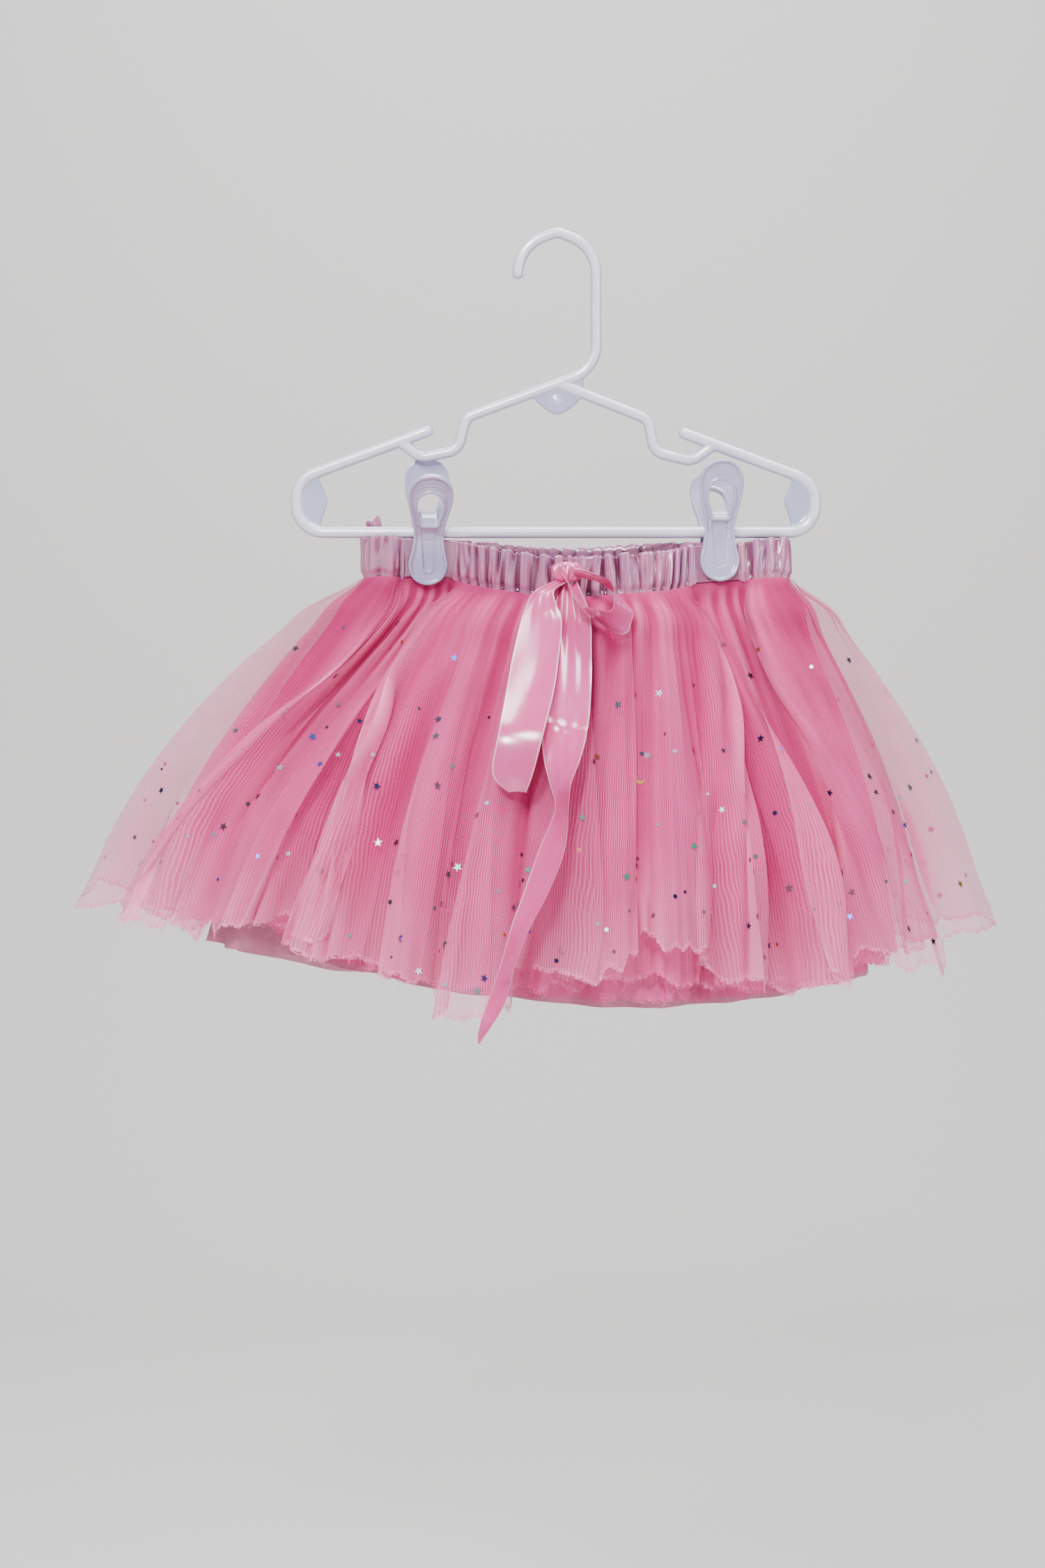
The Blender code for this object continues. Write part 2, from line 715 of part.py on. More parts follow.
def layer_rows(layer):
    """The middle surface of one cloth wall, as rows of points from the casing to the hem."""
    count = FOLDS * FOLD_POINTS
    waist = resample(waist_ring(), count)
    hems = hem_plan(count)
    start = CLOTH / 2 + layer.place * LAYER_STEP
    spread_mean = (layer.end_spread + layer.middle_spread) / 2
    spread_swing = (layer.end_spread - layer.middle_spread) / 2
    rows = []
    for row in ROWS:
        points = []
        for index, (spot, out) in enumerate(zip(*plan_row(row, waist, hems))):
            turn = index / count
            x, _, top, _ = waist[index]
            free = free_at(x, row)
            spread = spread_mean + spread_swing * math.cos(4 * math.pi * turn)
            beyond = getattr(row, layer.name) * spread
            beyond += layer.fold_height * row.fold * fold_wave(turn)
            spot = spot + out * (start + beyond * free)
            z_top = top - CASING_HEIGHT - SEAM_GAP
            z = z_top + row.drop * (hem_height(layer, turn) - z_top)
            y = spot.y + middle_y(x, z) * (1 - row.reach * free)
            points.append(Vector((spot.x, y, z)))
        rows.append(points)
    return rows


def surface_normals(rows):
    """Unit vectors pointing out of a loft of rings."""
    found = []
    last = len(rows) - 1
    for j, row in enumerate(rows):
        count = len(row)
        line = []
        for i in range(count):
            down = rows[min(j + 1, last)][i] - rows[max(j - 1, 0)][i]
            along = row[(i + 1) % count] - row[i - 1]
            out = down.cross(along)
            if j == 0:
                out.z = 0
            line.append(out.normalized())
        found.append(line)
    return found


def build_layer(layer, parts, finish):
    rows = layer_rows(layer)
    normals = surface_normals(rows)
    half = CLOTH / 2
    inside = [[p - n * half for p, n in zip(*pair)] for pair in zip(rows, normals)]
    outside = [[p + n * half for p, n in zip(*pair)] for pair in zip(rows, normals)]
    place(layer.name, wall_mesh(layer.name, inside, outside), parts, finish)


def front_of_skirt(rows, x, z, half_width):
    """The y of the foremost cloth near this place; above and below the cloth, of its edge."""
    foremost = 0.0
    for index in range(len(rows[0]) // 2):
        column = [row[index] for row in rows]
        for near_z in (z - NEAR, z, z + NEAR):
            z_in = min(max(near_z, column[-1].z), column[0].z)
            for upper, lower in zip(column, column[1:]):
                if lower.z <= z_in <= upper.z:
                    spot = upper.lerp(lower, (upper.z - z_in) / (upper.z - lower.z))
                    if abs(spot.x - x) < half_width + NEAR:
                        foremost = min(foremost, spot.y)
                    break
    return foremost - CLOTH / 2


def front_of_casing(casing, x, half_width):
    """The y of the casing's foremost gather near x."""
    reach = half_width + CASING_STEP
    return min(spot[1] for row in casing for spot in row if abs(spot[0] - x) < reach)


def front_of_knot(knot_y, x, z):
    """The y of the knot's front face here, or of its middle where it is narrower."""
    across = (x - KNOT_CENTRE_X) / KNOT_HALF_WIDTH
    up = (z - KNOT_CENTRE_Z) / KNOT_HALF_HEIGHT
    return knot_y - KNOT_HALF_DEPTH * math.sqrt(max(0.0, 1 - across**2 - up**2))


def front_of_bands(bands, x, z, half_width):
    """The y of the foremost ribbon that crosses x at this height, or 0 where there is none."""
    foremost = 0.0
    for spots, acrosses in bands:
        for k in range(len(spots) - 1):
            upper, lower = spots[k], spots[k + 1]
            if not lower.z - RIBBON_THICKNESS <= z <= upper.z + RIBBON_THICKNESS:
                continue
            t = (upper.z - z) / (upper.z - lower.z)
            spot = upper.lerp(lower, t)
            across = acrosses[k].lerp(acrosses[k + 1], t)
            if abs(spot.x - x) < half_width + abs(across.x) / 2 + RIBBON_CLEARANCE:
                foremost = min(foremost, spot.y - abs(across.y) / 2 - RIBBON_THICKNESS)
    return foremost


def build_tail(name, tail, root_y, behind, parts, finish):
    """A ribbon tail from the knot down over what is behind it; gives its band."""
    casing, skirt, bands = behind
    spots, acrosses = [], []
    for index, (x, z, width, degrees) in enumerate(tail):
        turn = math.radians(degrees)
        across = Vector((math.cos(turn), -abs(math.sin(turn)), 0)) * width
        half_width = abs(across.x) / 2
        surface = min(
            front_of_skirt(skirt, x, z, half_width),
            front_of_casing(casing, x, half_width),
            front_of_bands(bands, x, z, half_width),
        )
        y = surface - RIBBON_CLEARANCE - RIBBON_THICKNESS - abs(across.y) / 2
        if index == 0:
            y = root_y
        spots.append(Vector((x, y, z)))
        acrosses.append(across)
    place(name, band_mesh(name, spots, acrosses, RIBBON_THICKNESS), parts, finish)
    return spots, acrosses


def build_loop(knot_y, behind, parts, finish):
    """The bow's loop, an open band from the knot, that stands off the folds."""
    casing, skirt, bands = behind
    half_width = RIBBON_WIDTH / 2
    spots, acrosses = [], []
    for x, z, width in LOOP:
        across = LOOP_ACROSS * width
        far_x = x + across.x
        far_z = z + across.z
        surface = min(
            front_of_skirt(skirt, far_x, far_z, half_width),
            front_of_bands(bands, far_x, far_z, half_width),
            front_of_knot(knot_y, far_x, far_z),
            front_of_knot(knot_y, x, z) + across.y,
        )
        y_far = surface - RIBBON_THICKNESS / 2 - RIBBON_CLEARANCE / 2
        spots.append(Vector((x, y_far - across.y, z)) + across / 2)
        acrosses.append(across)
    place("bow_loop", band_mesh("bow_loop", spots, acrosses, RIBBON_THICKNESS), parts, finish)


def build_knot(knot_y, parts, finish):
    shape = bmesh.new()
    bmesh.ops.create_uvsphere(shape, u_segments=12, v_segments=8, radius=1)
    size = (KNOT_HALF_WIDTH, KNOT_HALF_DEPTH, KNOT_HALF_HEIGHT)
    centre = (KNOT_CENTRE_X, knot_y, KNOT_CENTRE_Z)
    bmesh.ops.scale(shape, vec=size, verts=shape.verts)
    bmesh.ops.translate(shape, vec=centre, verts=shape.verts)
    mesh = bpy.data.meshes.new("bow_knot")
    shape.to_mesh(mesh)
    shape.free()
    place("bow_knot", mesh, parts, finish)


def build_bow(casing, skirt, parts, finish):
    """The gathered knot on the casing's front, and the tails and loop that come out of it."""
    seat_y = front_of_casing(casing, KNOT_CENTRE_X, KNOT_HALF_WIDTH / 3) + KNOT_SEAT
    knot_y = seat_y - GAP - KNOT_HALF_DEPTH
    build_knot(knot_y, parts, finish)
    front_y = knot_y - RIBBON_THICKNESS - RIBBON_CLEARANCE
    behind = (casing, skirt, [])
    back = build_tail("bow_tail_back", TAIL_BACK, knot_y, behind, parts, finish)
    behind = (casing, skirt, [back])
    front = build_tail("bow_tail_front", TAIL_FRONT, front_y, behind, parts, finish)
    build_loop(knot_y, (casing, skirt, [back, front]), parts, finish)


def main():
    clear_scene()
    parts = new_collection("tutu_skirt_on_clip_hanger", False)
    helpers = new_collection("helpers", True)
    hanger_finish = material("gloss_white_plastic", HANGER_WHITE, 0.25)
    clip_finish = material("clip_plastic", CLIP_WHITE, 0.35)
    casing_finish = material("casing_satin", CASING_LILAC, 0.35)
    ribbon_finish = material("ribbon_satin", RIBBON_PINK, 0.25)
    layer_finishes = {
        "lining": material("lining_satin", LINING_PINK, 0.4),
        "tulle_under": material("plain_tulle", UNDER_PINK, 0.8, 0.7),
        "tulle_outer": material("star_tulle", TULLE_PINK, 0.8, 0.5),
    }
    build_hanger(parts, helpers, hanger_finish)
    for clip in CLIPS:
        build_clip(clip, parts, helpers, clip_finish)
    casing = build_casing(parts, casing_finish)
    for layer in LAYERS:
        build_layer(layer, parts, layer_finishes[layer.name])
    build_bow(casing, layer_rows(LAYERS[-1]), parts, ribbon_finish)


main()
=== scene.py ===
"""The looks of a child's tutu skirt on its clip hanger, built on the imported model's frame.

Metres, +Z up, the front faces -Y, and the origin is the inside top of the hanger's hook.
"""

import math

import bmesh
import bpy
import numpy as np
from mathutils import Matrix, Vector


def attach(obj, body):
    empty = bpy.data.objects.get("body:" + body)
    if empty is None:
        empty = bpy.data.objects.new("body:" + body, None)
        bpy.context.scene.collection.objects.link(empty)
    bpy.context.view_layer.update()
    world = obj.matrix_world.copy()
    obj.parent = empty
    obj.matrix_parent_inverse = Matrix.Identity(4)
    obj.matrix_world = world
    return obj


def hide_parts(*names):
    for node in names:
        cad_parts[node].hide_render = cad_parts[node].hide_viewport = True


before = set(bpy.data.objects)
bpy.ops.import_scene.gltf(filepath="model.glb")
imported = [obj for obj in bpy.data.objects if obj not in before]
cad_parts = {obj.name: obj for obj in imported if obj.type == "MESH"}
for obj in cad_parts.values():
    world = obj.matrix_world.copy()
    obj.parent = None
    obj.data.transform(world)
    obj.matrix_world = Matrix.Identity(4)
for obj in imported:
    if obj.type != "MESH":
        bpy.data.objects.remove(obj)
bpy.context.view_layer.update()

# The hanger is one injection moulding in white polypropylene, baby size. Its hook, shoulders,
# strap notches, arms and bar are round rod, and thin webs brace the middle and the two ends.
# The rods are fused where they meet, with the small fillets that a mould leaves.
ROD_RADIUS = 0.0031
BAR_RADIUS = 0.0033
HOOK_RADIUS = 0.0215
HOOK_PEAK = 0.0011
BAR_Z = -0.1605
WEB_THICKNESS = 0.0020
HANGER_VOXEL = 0.00062
HOOK_STEPS = 48
PEAK_SPREAD = 0.16
MARK_RADIUS = 0.0022
MARK_DEPTH = 0.0030
MARK_PLACE = (0.0002, 0, -0.0885)

# Corners of the rods in the hanger's plane: x, z and bend radius
STEM_AND_LEFT_SHOULDER = (
    (0.0215, -0.0707, 0.0190),
    (-0.0500, -0.0975, 0.0080),
    (-0.0545, -0.1155, 0.0085),
    (-0.0750, -0.1195, 0.0090),
    (-0.0865, -0.1106, 0.0),
)
RIGHT_SHOULDER = (
    (0.0035, -0.0800, 0.0),
    (0.0500, -0.0984, 0.0080),
    (0.0535, -0.1165, 0.0085),
    (0.0740, -0.1215, 0.0090),
    (0.0865, -0.1124, 0.0),
)
ARMS_AND_BAR = (
    (-0.0713, -0.1049, 0.0),
    (-0.1431, -0.1318, 0.0150),
    (-0.1431, BAR_Z, 0.0150),
    (0.1418, BAR_Z, 0.0145),
    (0.1418, -0.1331, 0.0150),
    (0.0701, -0.1062, 0.0),
)
MIDDLE_WEB = (
    (-0.0130, -0.0840), (-0.0085, -0.0912), (0.0000, -0.0959), (0.0090, -0.0912),
    (0.0137, -0.0850), (0.0137, -0.0735), (0.0035, -0.0775),
)
RIGHT_WEB = (
    (0.1380, -0.1340), (0.1305, -0.1310), (0.1270, -0.1370), (0.1248, -0.1435),
    (0.1270, -0.1510), (0.1305, -0.1590), (0.1380, -0.1590), (0.1412, -0.1510),
    (0.1415, -0.1410),
)
LEFT_WEB = tuple((-x - 0.0013, z) for x, z in RIGHT_WEB)


def choose(piece):
    """Leaves this piece alone selected and active, as the operators need."""
    bpy.ops.object.select_all(action="DESELECT")
    piece.select_set(True)
    bpy.context.view_layer.objects.active = piece


def add_object(name, data):
    """A new object with this data, linked to the scene."""
    made = bpy.data.objects.new(name, data)
    bpy.context.scene.collection.objects.link(made)
    return made


def join(parts):
    """The parts as one object, with its transforms applied."""
    choose(parts[0])
    for part in parts:
        part.select_set(True)
    bpy.ops.object.join()
    bpy.ops.object.transform_apply(location=True, rotation=True, scale=True)
    return bpy.context.object


def rod_line(corners):
    """Points of a rod that turns each corner on its bend radius."""
    spots = [Vector((x, 0, z)) for x, z, _ in corners]
    line = [spots[0]]
    for before, spot, after, corner in zip(spots, spots[1:], spots[2:], corners[1:]):
        coming = (spot - before).normalized()
        going = (after - spot).normalized()
        turn = coming.angle(going)
        side = (going - coming * coming.dot(going)).normalized()
        centre = spot - coming * corner[2] * math.tan(turn / 2) + side * corner[2]
        steps = max(3, round(math.degrees(turn) / 5))
        for step in range(steps + 1):
            angle = turn * step / steps
            line.append(centre + corner[2] * (coming * math.sin(angle) - side * math.cos(angle)))
    return line + [spots[-1]]


def add_rod(line, radius):
    """A rod along the line with a ball on each tip: the new objects."""
    curve = bpy.data.curves.new("rod", "CURVE")
    curve.dimensions = "3D"
    curve.bevel_depth = radius
    curve.bevel_resolution = 5
    curve.use_fill_caps = True
    spline = curve.splines.new("POLY")
    spline.points.add(len(line) - 1)
    for point, spot in zip(spline.points, line):
        point.co = (*spot, 1)
    rod = add_object("rod", curve)
    choose(rod)
    bpy.ops.object.convert(target="MESH")
    made = [rod]
    for tip in (line[0], line[-1]):
        bpy.ops.mesh.primitive_uv_sphere_add(
            segments=20, ring_count=12, radius=radius, location=tip
        )
        made.append(bpy.context.object)
    return made


def add_plate(outlines, thickness, rounding=0.0):
    """A flat plate in the XZ plane, centred on it, from closed outlines of x and z."""
    curve = bpy.data.curves.new("plate", "CURVE")
    curve.dimensions = "2D"
    curve.fill_mode = "BOTH"
    curve.extrude = thickness / 2 - rounding
    curve.bevel_depth = rounding
    curve.bevel_resolution = 1
    curve.offset = -rounding
    for outline in outlines:
        spline = curve.splines.new("POLY")
        spline.points.add(len(outline) - 1)
        spline.use_cyclic_u = True
        for point, (x, z) in zip(spline.points, outline):
            point.co = (x, z, 0, 1)
    plate = add_object("plate", curve)
    choose(plate)
    bpy.ops.object.convert(target="MESH")
    plate.data.transform(Matrix.Rotation(math.radians(90), 4, "X"))
    return plate


def round_outline(corners, steps=6, closed=True):
    """A smooth outline through the corners, or an open line of their columns."""
    count = len(corners)
    found = []
    for k in range(count if closed else count - 1):
        near = [k - 1, k, k + 1, k + 2]
        near = [n % count if closed else min(max(n, 0), count - 1) for n in near]
        a, b, c, d = (np.array(corners[n]) for n in near)
        for step in range(steps):
            t = step / steps
            found.append(
                0.5 * (2 * b + (c - a) * t + (2 * a - 5 * b + 4 * c - d) * t**2
                       + (3 * b - a - 3 * c + d) * t**3)
            )
    return found if closed else found + [np.array(corners[-1])]


def fuse(name, parts, voxel, smoothing):
    """The parts as one moulding, with soft inner corners."""
    body = join(parts)
    body.name = name
    remesh = body.modifiers.new("fuse", "REMESH")
    remesh.mode = "VOXEL"
    remesh.voxel_size = voxel
    bpy.ops.object.modifier_apply(modifier=remesh.name)
    smooth = body.modifiers.new("soften", "SMOOTH")
    smooth.factor = 0.5
    smooth.iterations = smoothing
    bpy.ops.object.modifier_apply(modifier=smooth.name)
    bpy.ops.object.shade_smooth()
    return body


hook_line = []
for step in range(HOOK_STEPS + 1):
    angle = math.pi * (1 - step / HOOK_STEPS)
    peak = HOOK_PEAK * math.exp(-(((angle - math.pi / 2) / PEAK_SPREAD) ** 2))
    up = ROD_RADIUS - HOOK_RADIUS + HOOK_RADIUS * math.sin(angle) + peak
    hook_line.append(Vector((HOOK_RADIUS * math.cos(angle), 0, up)))
hook_end = (hook_line[-1].x, hook_line[-1].z, 0.0)
hook_line = hook_line[:-1] + rod_line((hook_end, *STEM_AND_LEFT_SHOULDER))

hanger_parts = add_rod(hook_line, ROD_RADIUS)
hanger_parts += add_rod(rod_line(ARMS_AND_BAR), BAR_RADIUS)
hanger_parts += add_rod(rod_line(RIGHT_SHOULDER), ROD_RADIUS)
for web in (MIDDLE_WEB, LEFT_WEB, RIGHT_WEB):
    hanger_parts.append(add_plate([round_outline(web)], WEB_THICKNESS))
# The round mark of the mould's ejector pin, on the middle web
bpy.ops.mesh.primitive_cylinder_add(
    radius=MARK_RADIUS, depth=MARK_DEPTH, location=MARK_PLACE, rotation=(math.pi / 2, 0, 0)
)
hanger_parts.append(bpy.context.object)
hanger = fuse("hanger_moulding", hanger_parts, HANGER_VOXEL, 5)


def linear(code):
    """Linear RGBA from an sRGB hex colour."""
    parts = [int(code[k : k + 2], 16) / 255 for k in (1, 3, 5)]
    return (*[c / 12.92 if c <= 0.04045 else ((c + 0.055) / 1.055) ** 2.4 for c in parts], 1)


def add_node(tree, kind, output, inputs=(), **settings):
    """The named output of a new node, its properties set and its inputs set or linked."""
    made = tree.nodes.new(kind)
    for name, value in settings.items():
        setattr(made, name, value)
    for name, value in dict(inputs).items():
        if isinstance(value, bpy.types.NodeSocket):
            tree.links.new(value, made.inputs[name])
        else:
            made.inputs[name].default_value = value
    return made.outputs[output]


def new_material(name, inputs):
    """A material with these values on its Principled shader: it, its tree and the shader."""
    made = bpy.data.materials.new(name)
    made.use_nodes = True
    shader = made.node_tree.nodes["Principled BSDF"]
    for key, value in inputs.items():
        shader.inputs[key].default_value = value
    return made, made.node_tree, shader


def moulded_plastic(name, colour, shade, edge, thick, roughness):
    """Gloss polypropylene, injection moulded: a faint ripple, and painted shade on the webs and
    rod sides near the middle plane.
    """
    made, tree, shader = new_material(
        name,
        {"Roughness": roughness, "IOR": 1.49, "Specular IOR Level": 0.9,
         "Coat Weight": 0.4, "Coat Roughness": 0.05},
    )
    place = add_node(tree, "ShaderNodeTexCoord", "Object")
    # Flow marks about 12 mm long, and ripple of 1.5 mm
    flow = add_node(tree, "ShaderNodeTexNoise", "Fac", {"Vector": place, "Scale": 80.0})
    tint = add_node(
        tree, "ShaderNodeMix", 2, {0: flow, 6: linear(colour), 7: linear(shade)}, data_type="RGBA"
    )
    # Painted shade: near the middle plane, on the thin webs and the sides of the rods, the colour
    # darkens to the edge colour
    across = add_node(tree, "ShaderNodeSeparateXYZ", "Y", {"Vector": place})
    off_middle = add_node(tree, "ShaderNodeMath", "Value", {0: across}, operation="ABSOLUTE")
    mid_plane_shade = add_node(
        tree, "ShaderNodeMapRange", "Result",
        {"Value": off_middle, "From Min": thick * 0.35, "From Max": thick, "To Min": 1.0,
         "To Max": 0.0},
    )
    tint = add_node(
        tree, "ShaderNodeMix", 2, {0: mid_plane_shade, 6: tint, 7: linear(edge)}, data_type="RGBA"
    )
    tree.links.new(tint, shader.inputs["Base Color"])
    ripple = add_node(tree, "ShaderNodeTexNoise", "Fac", {"Vector": place, "Scale": 650.0})
    bump = add_node(
        tree, "ShaderNodeBump", "Normal", {"Height": ripple, "Strength": 0.06, "Distance": 0.0003}
    )
    tree.links.new(bump, shader.inputs["Normal"])
    return made


# The edge colour #A2A8CA is painted shade on the webs and the sides of the rods
hanger.data.materials.append(
    moulded_plastic("white_polypropylene", "#E4E5F1", "#D8DAEA", "#A2A8CA", 0.0024, 0.16)
)
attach(hanger, "root")
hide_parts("hanger")

# Each clip is one moulding in bluish white polypropylene: two keyhole levers, joined by a spring
# tongue over the bar. A lever is a thin panel inside a raised rim, with a sunk slot for the
# tongue's root below the keyhole and three grip ridges above it. The jaws pinch the casing.
JAW_LENGTH = 0.0282
LEVER_DEPTH = 0.0034
PANEL_DEPTH = 0.0022
SLOT_DEPTH = 0.0013
RIM_WIDTH = 0.0017
HANDLE_SPLAY = math.radians(20)
TONGUE_WIDTH = 0.0090
TONGUE_THICKNESS = 0.0016
RIB_WIDTH = 0.0050
RIB_HEIGHT = 0.0030
RIB_DROP = 0.0008
RIB_ROOT = 0.0016
RIDGE_RADII = (0.0107, 0.0127, 0.0147)
RIDGE_THICKNESS = 0.0003
RIDGE_CENTRE = 0.0205
CASING_HALF = 0.0043
CLIP_GAP = 0.0003
CLIP_VOXEL = 0.00042

# One side of the outlines: how far up from the bar, and how far out from the middle
LEVER_SIDE = (
    (-0.0282, 0.0000), (-0.0250, 0.0077), (-0.0173, 0.0108), (-0.0085, 0.0092),
    (0.0010, 0.0082), (0.0100, 0.0094), (0.0215, 0.0119), (0.0315, 0.0117),
    (0.0380, 0.0070), (0.0400, 0.0000),
)
KEYHOLE_SIDE = (
    (0.0078, 0.0000), (0.0080, 0.0042), (0.0110, 0.0048), (0.0195, 0.0069),
    (0.0255, 0.0056), (0.0285, 0.0000),
)
SLOT_SIDE = (
    (-0.0208, 0.0000), (-0.0200, 0.0017), (-0.0180, 0.0025), (-0.0080, 0.0034),
    (0.0060, 0.0044), (0.0076, 0.0040), (0.0077, 0.0000),
)
# The tongue from the side: how far back, and how far up from the bar
TONGUE_LINE = (
    (-0.0085, 0.0068), (-0.0070, 0.0094), (-0.0030, 0.0112), (0.0030, 0.0112),
    (0.0070, 0.0094), (0.0085, 0.0068),
)
# Name, x, tilt and yaw as the clip hangs
CLIPS = (
    ("clip_left", -0.0710, math.radians(20), math.radians(6)),
    ("clip_right", 0.0880, math.radians(-4), math.radians(6)),
)


def whole(side):
    """A smooth closed outline of x and z from one side's heights and half widths."""
    right = [(out, up) for up, out in side]
    return round_outline(right + [(-out, up) for up, out in reversed(side[1:-1])])


def inset(outline, width):
    """The outline moved in by this width, or out where it is negative."""
    spots = np.array(outline)
    along = np.roll(spots, -1, 0) - np.roll(spots, 1, 0)
    inwards = np.stack([-along[:, 1], along[:, 0]], 1)
    inwards /= np.linalg.norm(inwards, axis=1, keepdims=True)
    return [tuple(spot) for spot in spots + inwards * width]


def layer_of_lever(outlines, low, high, rounding):
    """A part of the lever between two depths from its inner face, which looks to +Y."""
    plate = add_plate(outlines, high - low, rounding)
    plate.data.transform(Matrix.Translation((0, -(low + high) / 2, 0)))
    return plate


def build_lever(jaw_half, back):
    """One lever in the clip's frame, its jaw upright and its handle splayed outwards."""
    lever, key, slot = whole(LEVER_SIDE), whole(KEYHOLE_SIDE), whole(SLOT_SIDE)
    parts = [
        layer_of_lever([lever, key, inset(slot, -0.0002)], 0.0002, PANEL_DEPTH, 0.0),
        layer_of_lever([inset(slot, -0.0005)], 0.0002, SLOT_DEPTH, 0.0),
        layer_of_lever([lever, inset(lever, RIM_WIDTH)], 0.0, LEVER_DEPTH, 0.0005),
        layer_of_lever([inset(key, -RIM_WIDTH), key], 0.0, LEVER_DEPTH, 0.0005),
        layer_of_lever([inset(slot, -0.0008), slot], 0.0002, PANEL_DEPTH + 0.0003, 0.0002),
    ]
    for radius in RIDGE_RADII:
        ridge = []
        for step in range(13):
            angle = math.radians(50 + 80 * step / 12)
            up = RIDGE_CENTRE + radius * math.sin(angle)
            ridge.append(Vector((radius * math.cos(angle), -PANEL_DEPTH, up)))
        parts += add_rod(ridge, RIDGE_THICKNESS)
    made = join(parts)
    cut = bmesh.new()
    cut.from_mesh(made.data)
    every = cut.verts[:] + cut.edges[:] + cut.faces[:]
    bmesh.ops.bisect_plane(cut, geom=every, dist=1e-6, plane_co=(0, 0, 0), plane_no=(0, 0, 1))
    cut.to_mesh(made.data)
    cut.free()
    made.data.transform(Matrix.Translation((0, -jaw_half, 0)))
    splay = Matrix.Rotation(HANDLE_SPLAY, 3, "X")
    for vert in made.data.vertices:
        if vert.co.z > 0:
            vert.co = splay @ (vert.co + Vector((0, jaw_half, 0))) - Vector((0, jaw_half, 0))
    if back:
        made.data.transform(Matrix.Rotation(math.pi, 4, "Z"))
    return made


def build_tongue():
    """The spring strip that arches over the bar from lever to lever."""
    bpy.ops.mesh.primitive_plane_add(size=1)
    strip = bpy.context.object
    shape = bmesh.new()
    rows = []
    for back, up in round_outline(TONGUE_LINE, 5, closed=False):
        rows.append([shape.verts.new((side * TONGUE_WIDTH / 2, back, up)) for side in (-1, 1)])
    for first, second in zip(rows, rows[1:]):
        shape.faces.new((first[0], first[1], second[1], second[0]))
    shape.to_mesh(strip.data)
    shape.free()
    choose(strip)
    thick = strip.modifiers.new("thickness", "SOLIDIFY")
    thick.thickness = TONGUE_THICKNESS
    thick.offset = 0
    bpy.ops.object.modifier_apply(modifier=thick.name)
    return strip


# The edge colour #9A9AC2 is painted shade near the clips' middle plane, over the bar
clip_plastic = moulded_plastic(
    "bluish_white_polypropylene", "#B4B1CE", "#A6A4C6", "#9A9AC2", 0.004, 0.15
)
for clip_name, clip_x, tilt, yaw in CLIPS:
    jaw_half = CASING_HALF * math.cos(tilt) * math.cos(yaw) + CLIP_GAP
    parts = [build_lever(jaw_half, False), build_lever(jaw_half, True), build_tongue()]
    # A rib inside each lever ends just short of the bar
    clear = (BAR_RADIUS + CLIP_GAP) / math.cos(yaw) + RIB_WIDTH / 2 * math.tan(yaw)
    for side in (-1, 1):
        depth = jaw_half + RIB_ROOT - clear
        middle = (0, side * (clear + depth / 2), -RIB_DROP)
        bpy.ops.mesh.primitive_cube_add(size=1, location=middle)
        bpy.context.object.scale = (RIB_WIDTH, depth, RIB_HEIGHT)
        parts.append(bpy.context.object)
    clip = fuse(clip_name + "_moulding", parts, CLIP_VOXEL, 3)
    turn = Matrix.Translation((clip_x, 0, BAR_Z))
    turn = turn @ Matrix.Rotation(yaw, 4, "Z") @ Matrix.Rotation(tilt, 4, "X")
    clip.data.transform(turn)
    clip.data.materials.append(clip_plastic)
    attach(clip, "root")
    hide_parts(clip_name)

# The casing is a bias tube of shot satin, pink one way and lilac the other, over 15 mm elastic
# that ruches it. It is open at the waist, pinched flat at both clips, and its back edge stands
# up in a small frill by the left clip. A row of lockstitch closes it along the bottom.
CASING_HEIGHT = 0.020
CASING_WALL = 0.0040
PINCH_HALF = 0.0003
PINCH_HALF_WIDTH = 0.0125
PINCH_FADE = 0.012
JAW_REACH = 0.0110
JAW_FADE = 0.004
GATHERS = 66
CASING_COLUMNS = 1500
# A wave texture's bands repeat every 0.314 units at a scale of 1
WAVE_SPAN = 0.314

# From left to right: x, the inner half depth, the front and back edges, and the frill's height
WAIST = np.array([
    (-0.1033, 0.0000, -0.1646, -0.1646, 0.0000), (-0.1020, 0.0040, -0.1644, -0.1644, 0.0086),
    (-0.0970, 0.0066, -0.1642, -0.1642, 0.0096), (-0.0900, 0.0052, -0.1643, -0.1643, 0.0030),
    (-0.0845, 0.0003, -0.1646, -0.1646, 0.0000), (-0.0580, 0.0003, -0.1652, -0.1650, 0.0000),
    (-0.0500, 0.0040, -0.1672, -0.1652, 0.0000), (-0.0350, 0.0130, -0.1710, -0.1659, 0.0000),
    (-0.0100, 0.0195, -0.1752, -0.1678, 0.0000), (0.0120, 0.0210, -0.1766, -0.1682, 0.0000),
    (0.0350, 0.0185, -0.1750, -0.1668, 0.0000), (0.0580, 0.0100, -0.1726, -0.1662, 0.0000),
    (0.0740, 0.0006, -0.1690, -0.1664, 0.0000), (0.1010, 0.0003, -0.1668, -0.1662, 0.0000),
    (0.1080, 0.0035, -0.1662, -0.1656, 0.0000), (0.1160, 0.0072, -0.1656, -0.1652, 0.0000),
    (0.1215, 0.0060, -0.1652, -0.1652, 0.0000), (0.1240, 0.0000, -0.1654, -0.1654, 0.0000),
])


def ease(t):
    t = np.clip(t, 0.0, 1.0)
    return t * t * (3 - 2 * t)


def pinch_at(x):
    """1 where a clip holds the waist flat, fading to 0 beside it."""
    beyond = [np.abs(x - clip_x) - PINCH_HALF_WIDTH for _, clip_x, _, _ in CLIPS]
    return 1 - ease(np.minimum(*beyond) / PINCH_FADE)


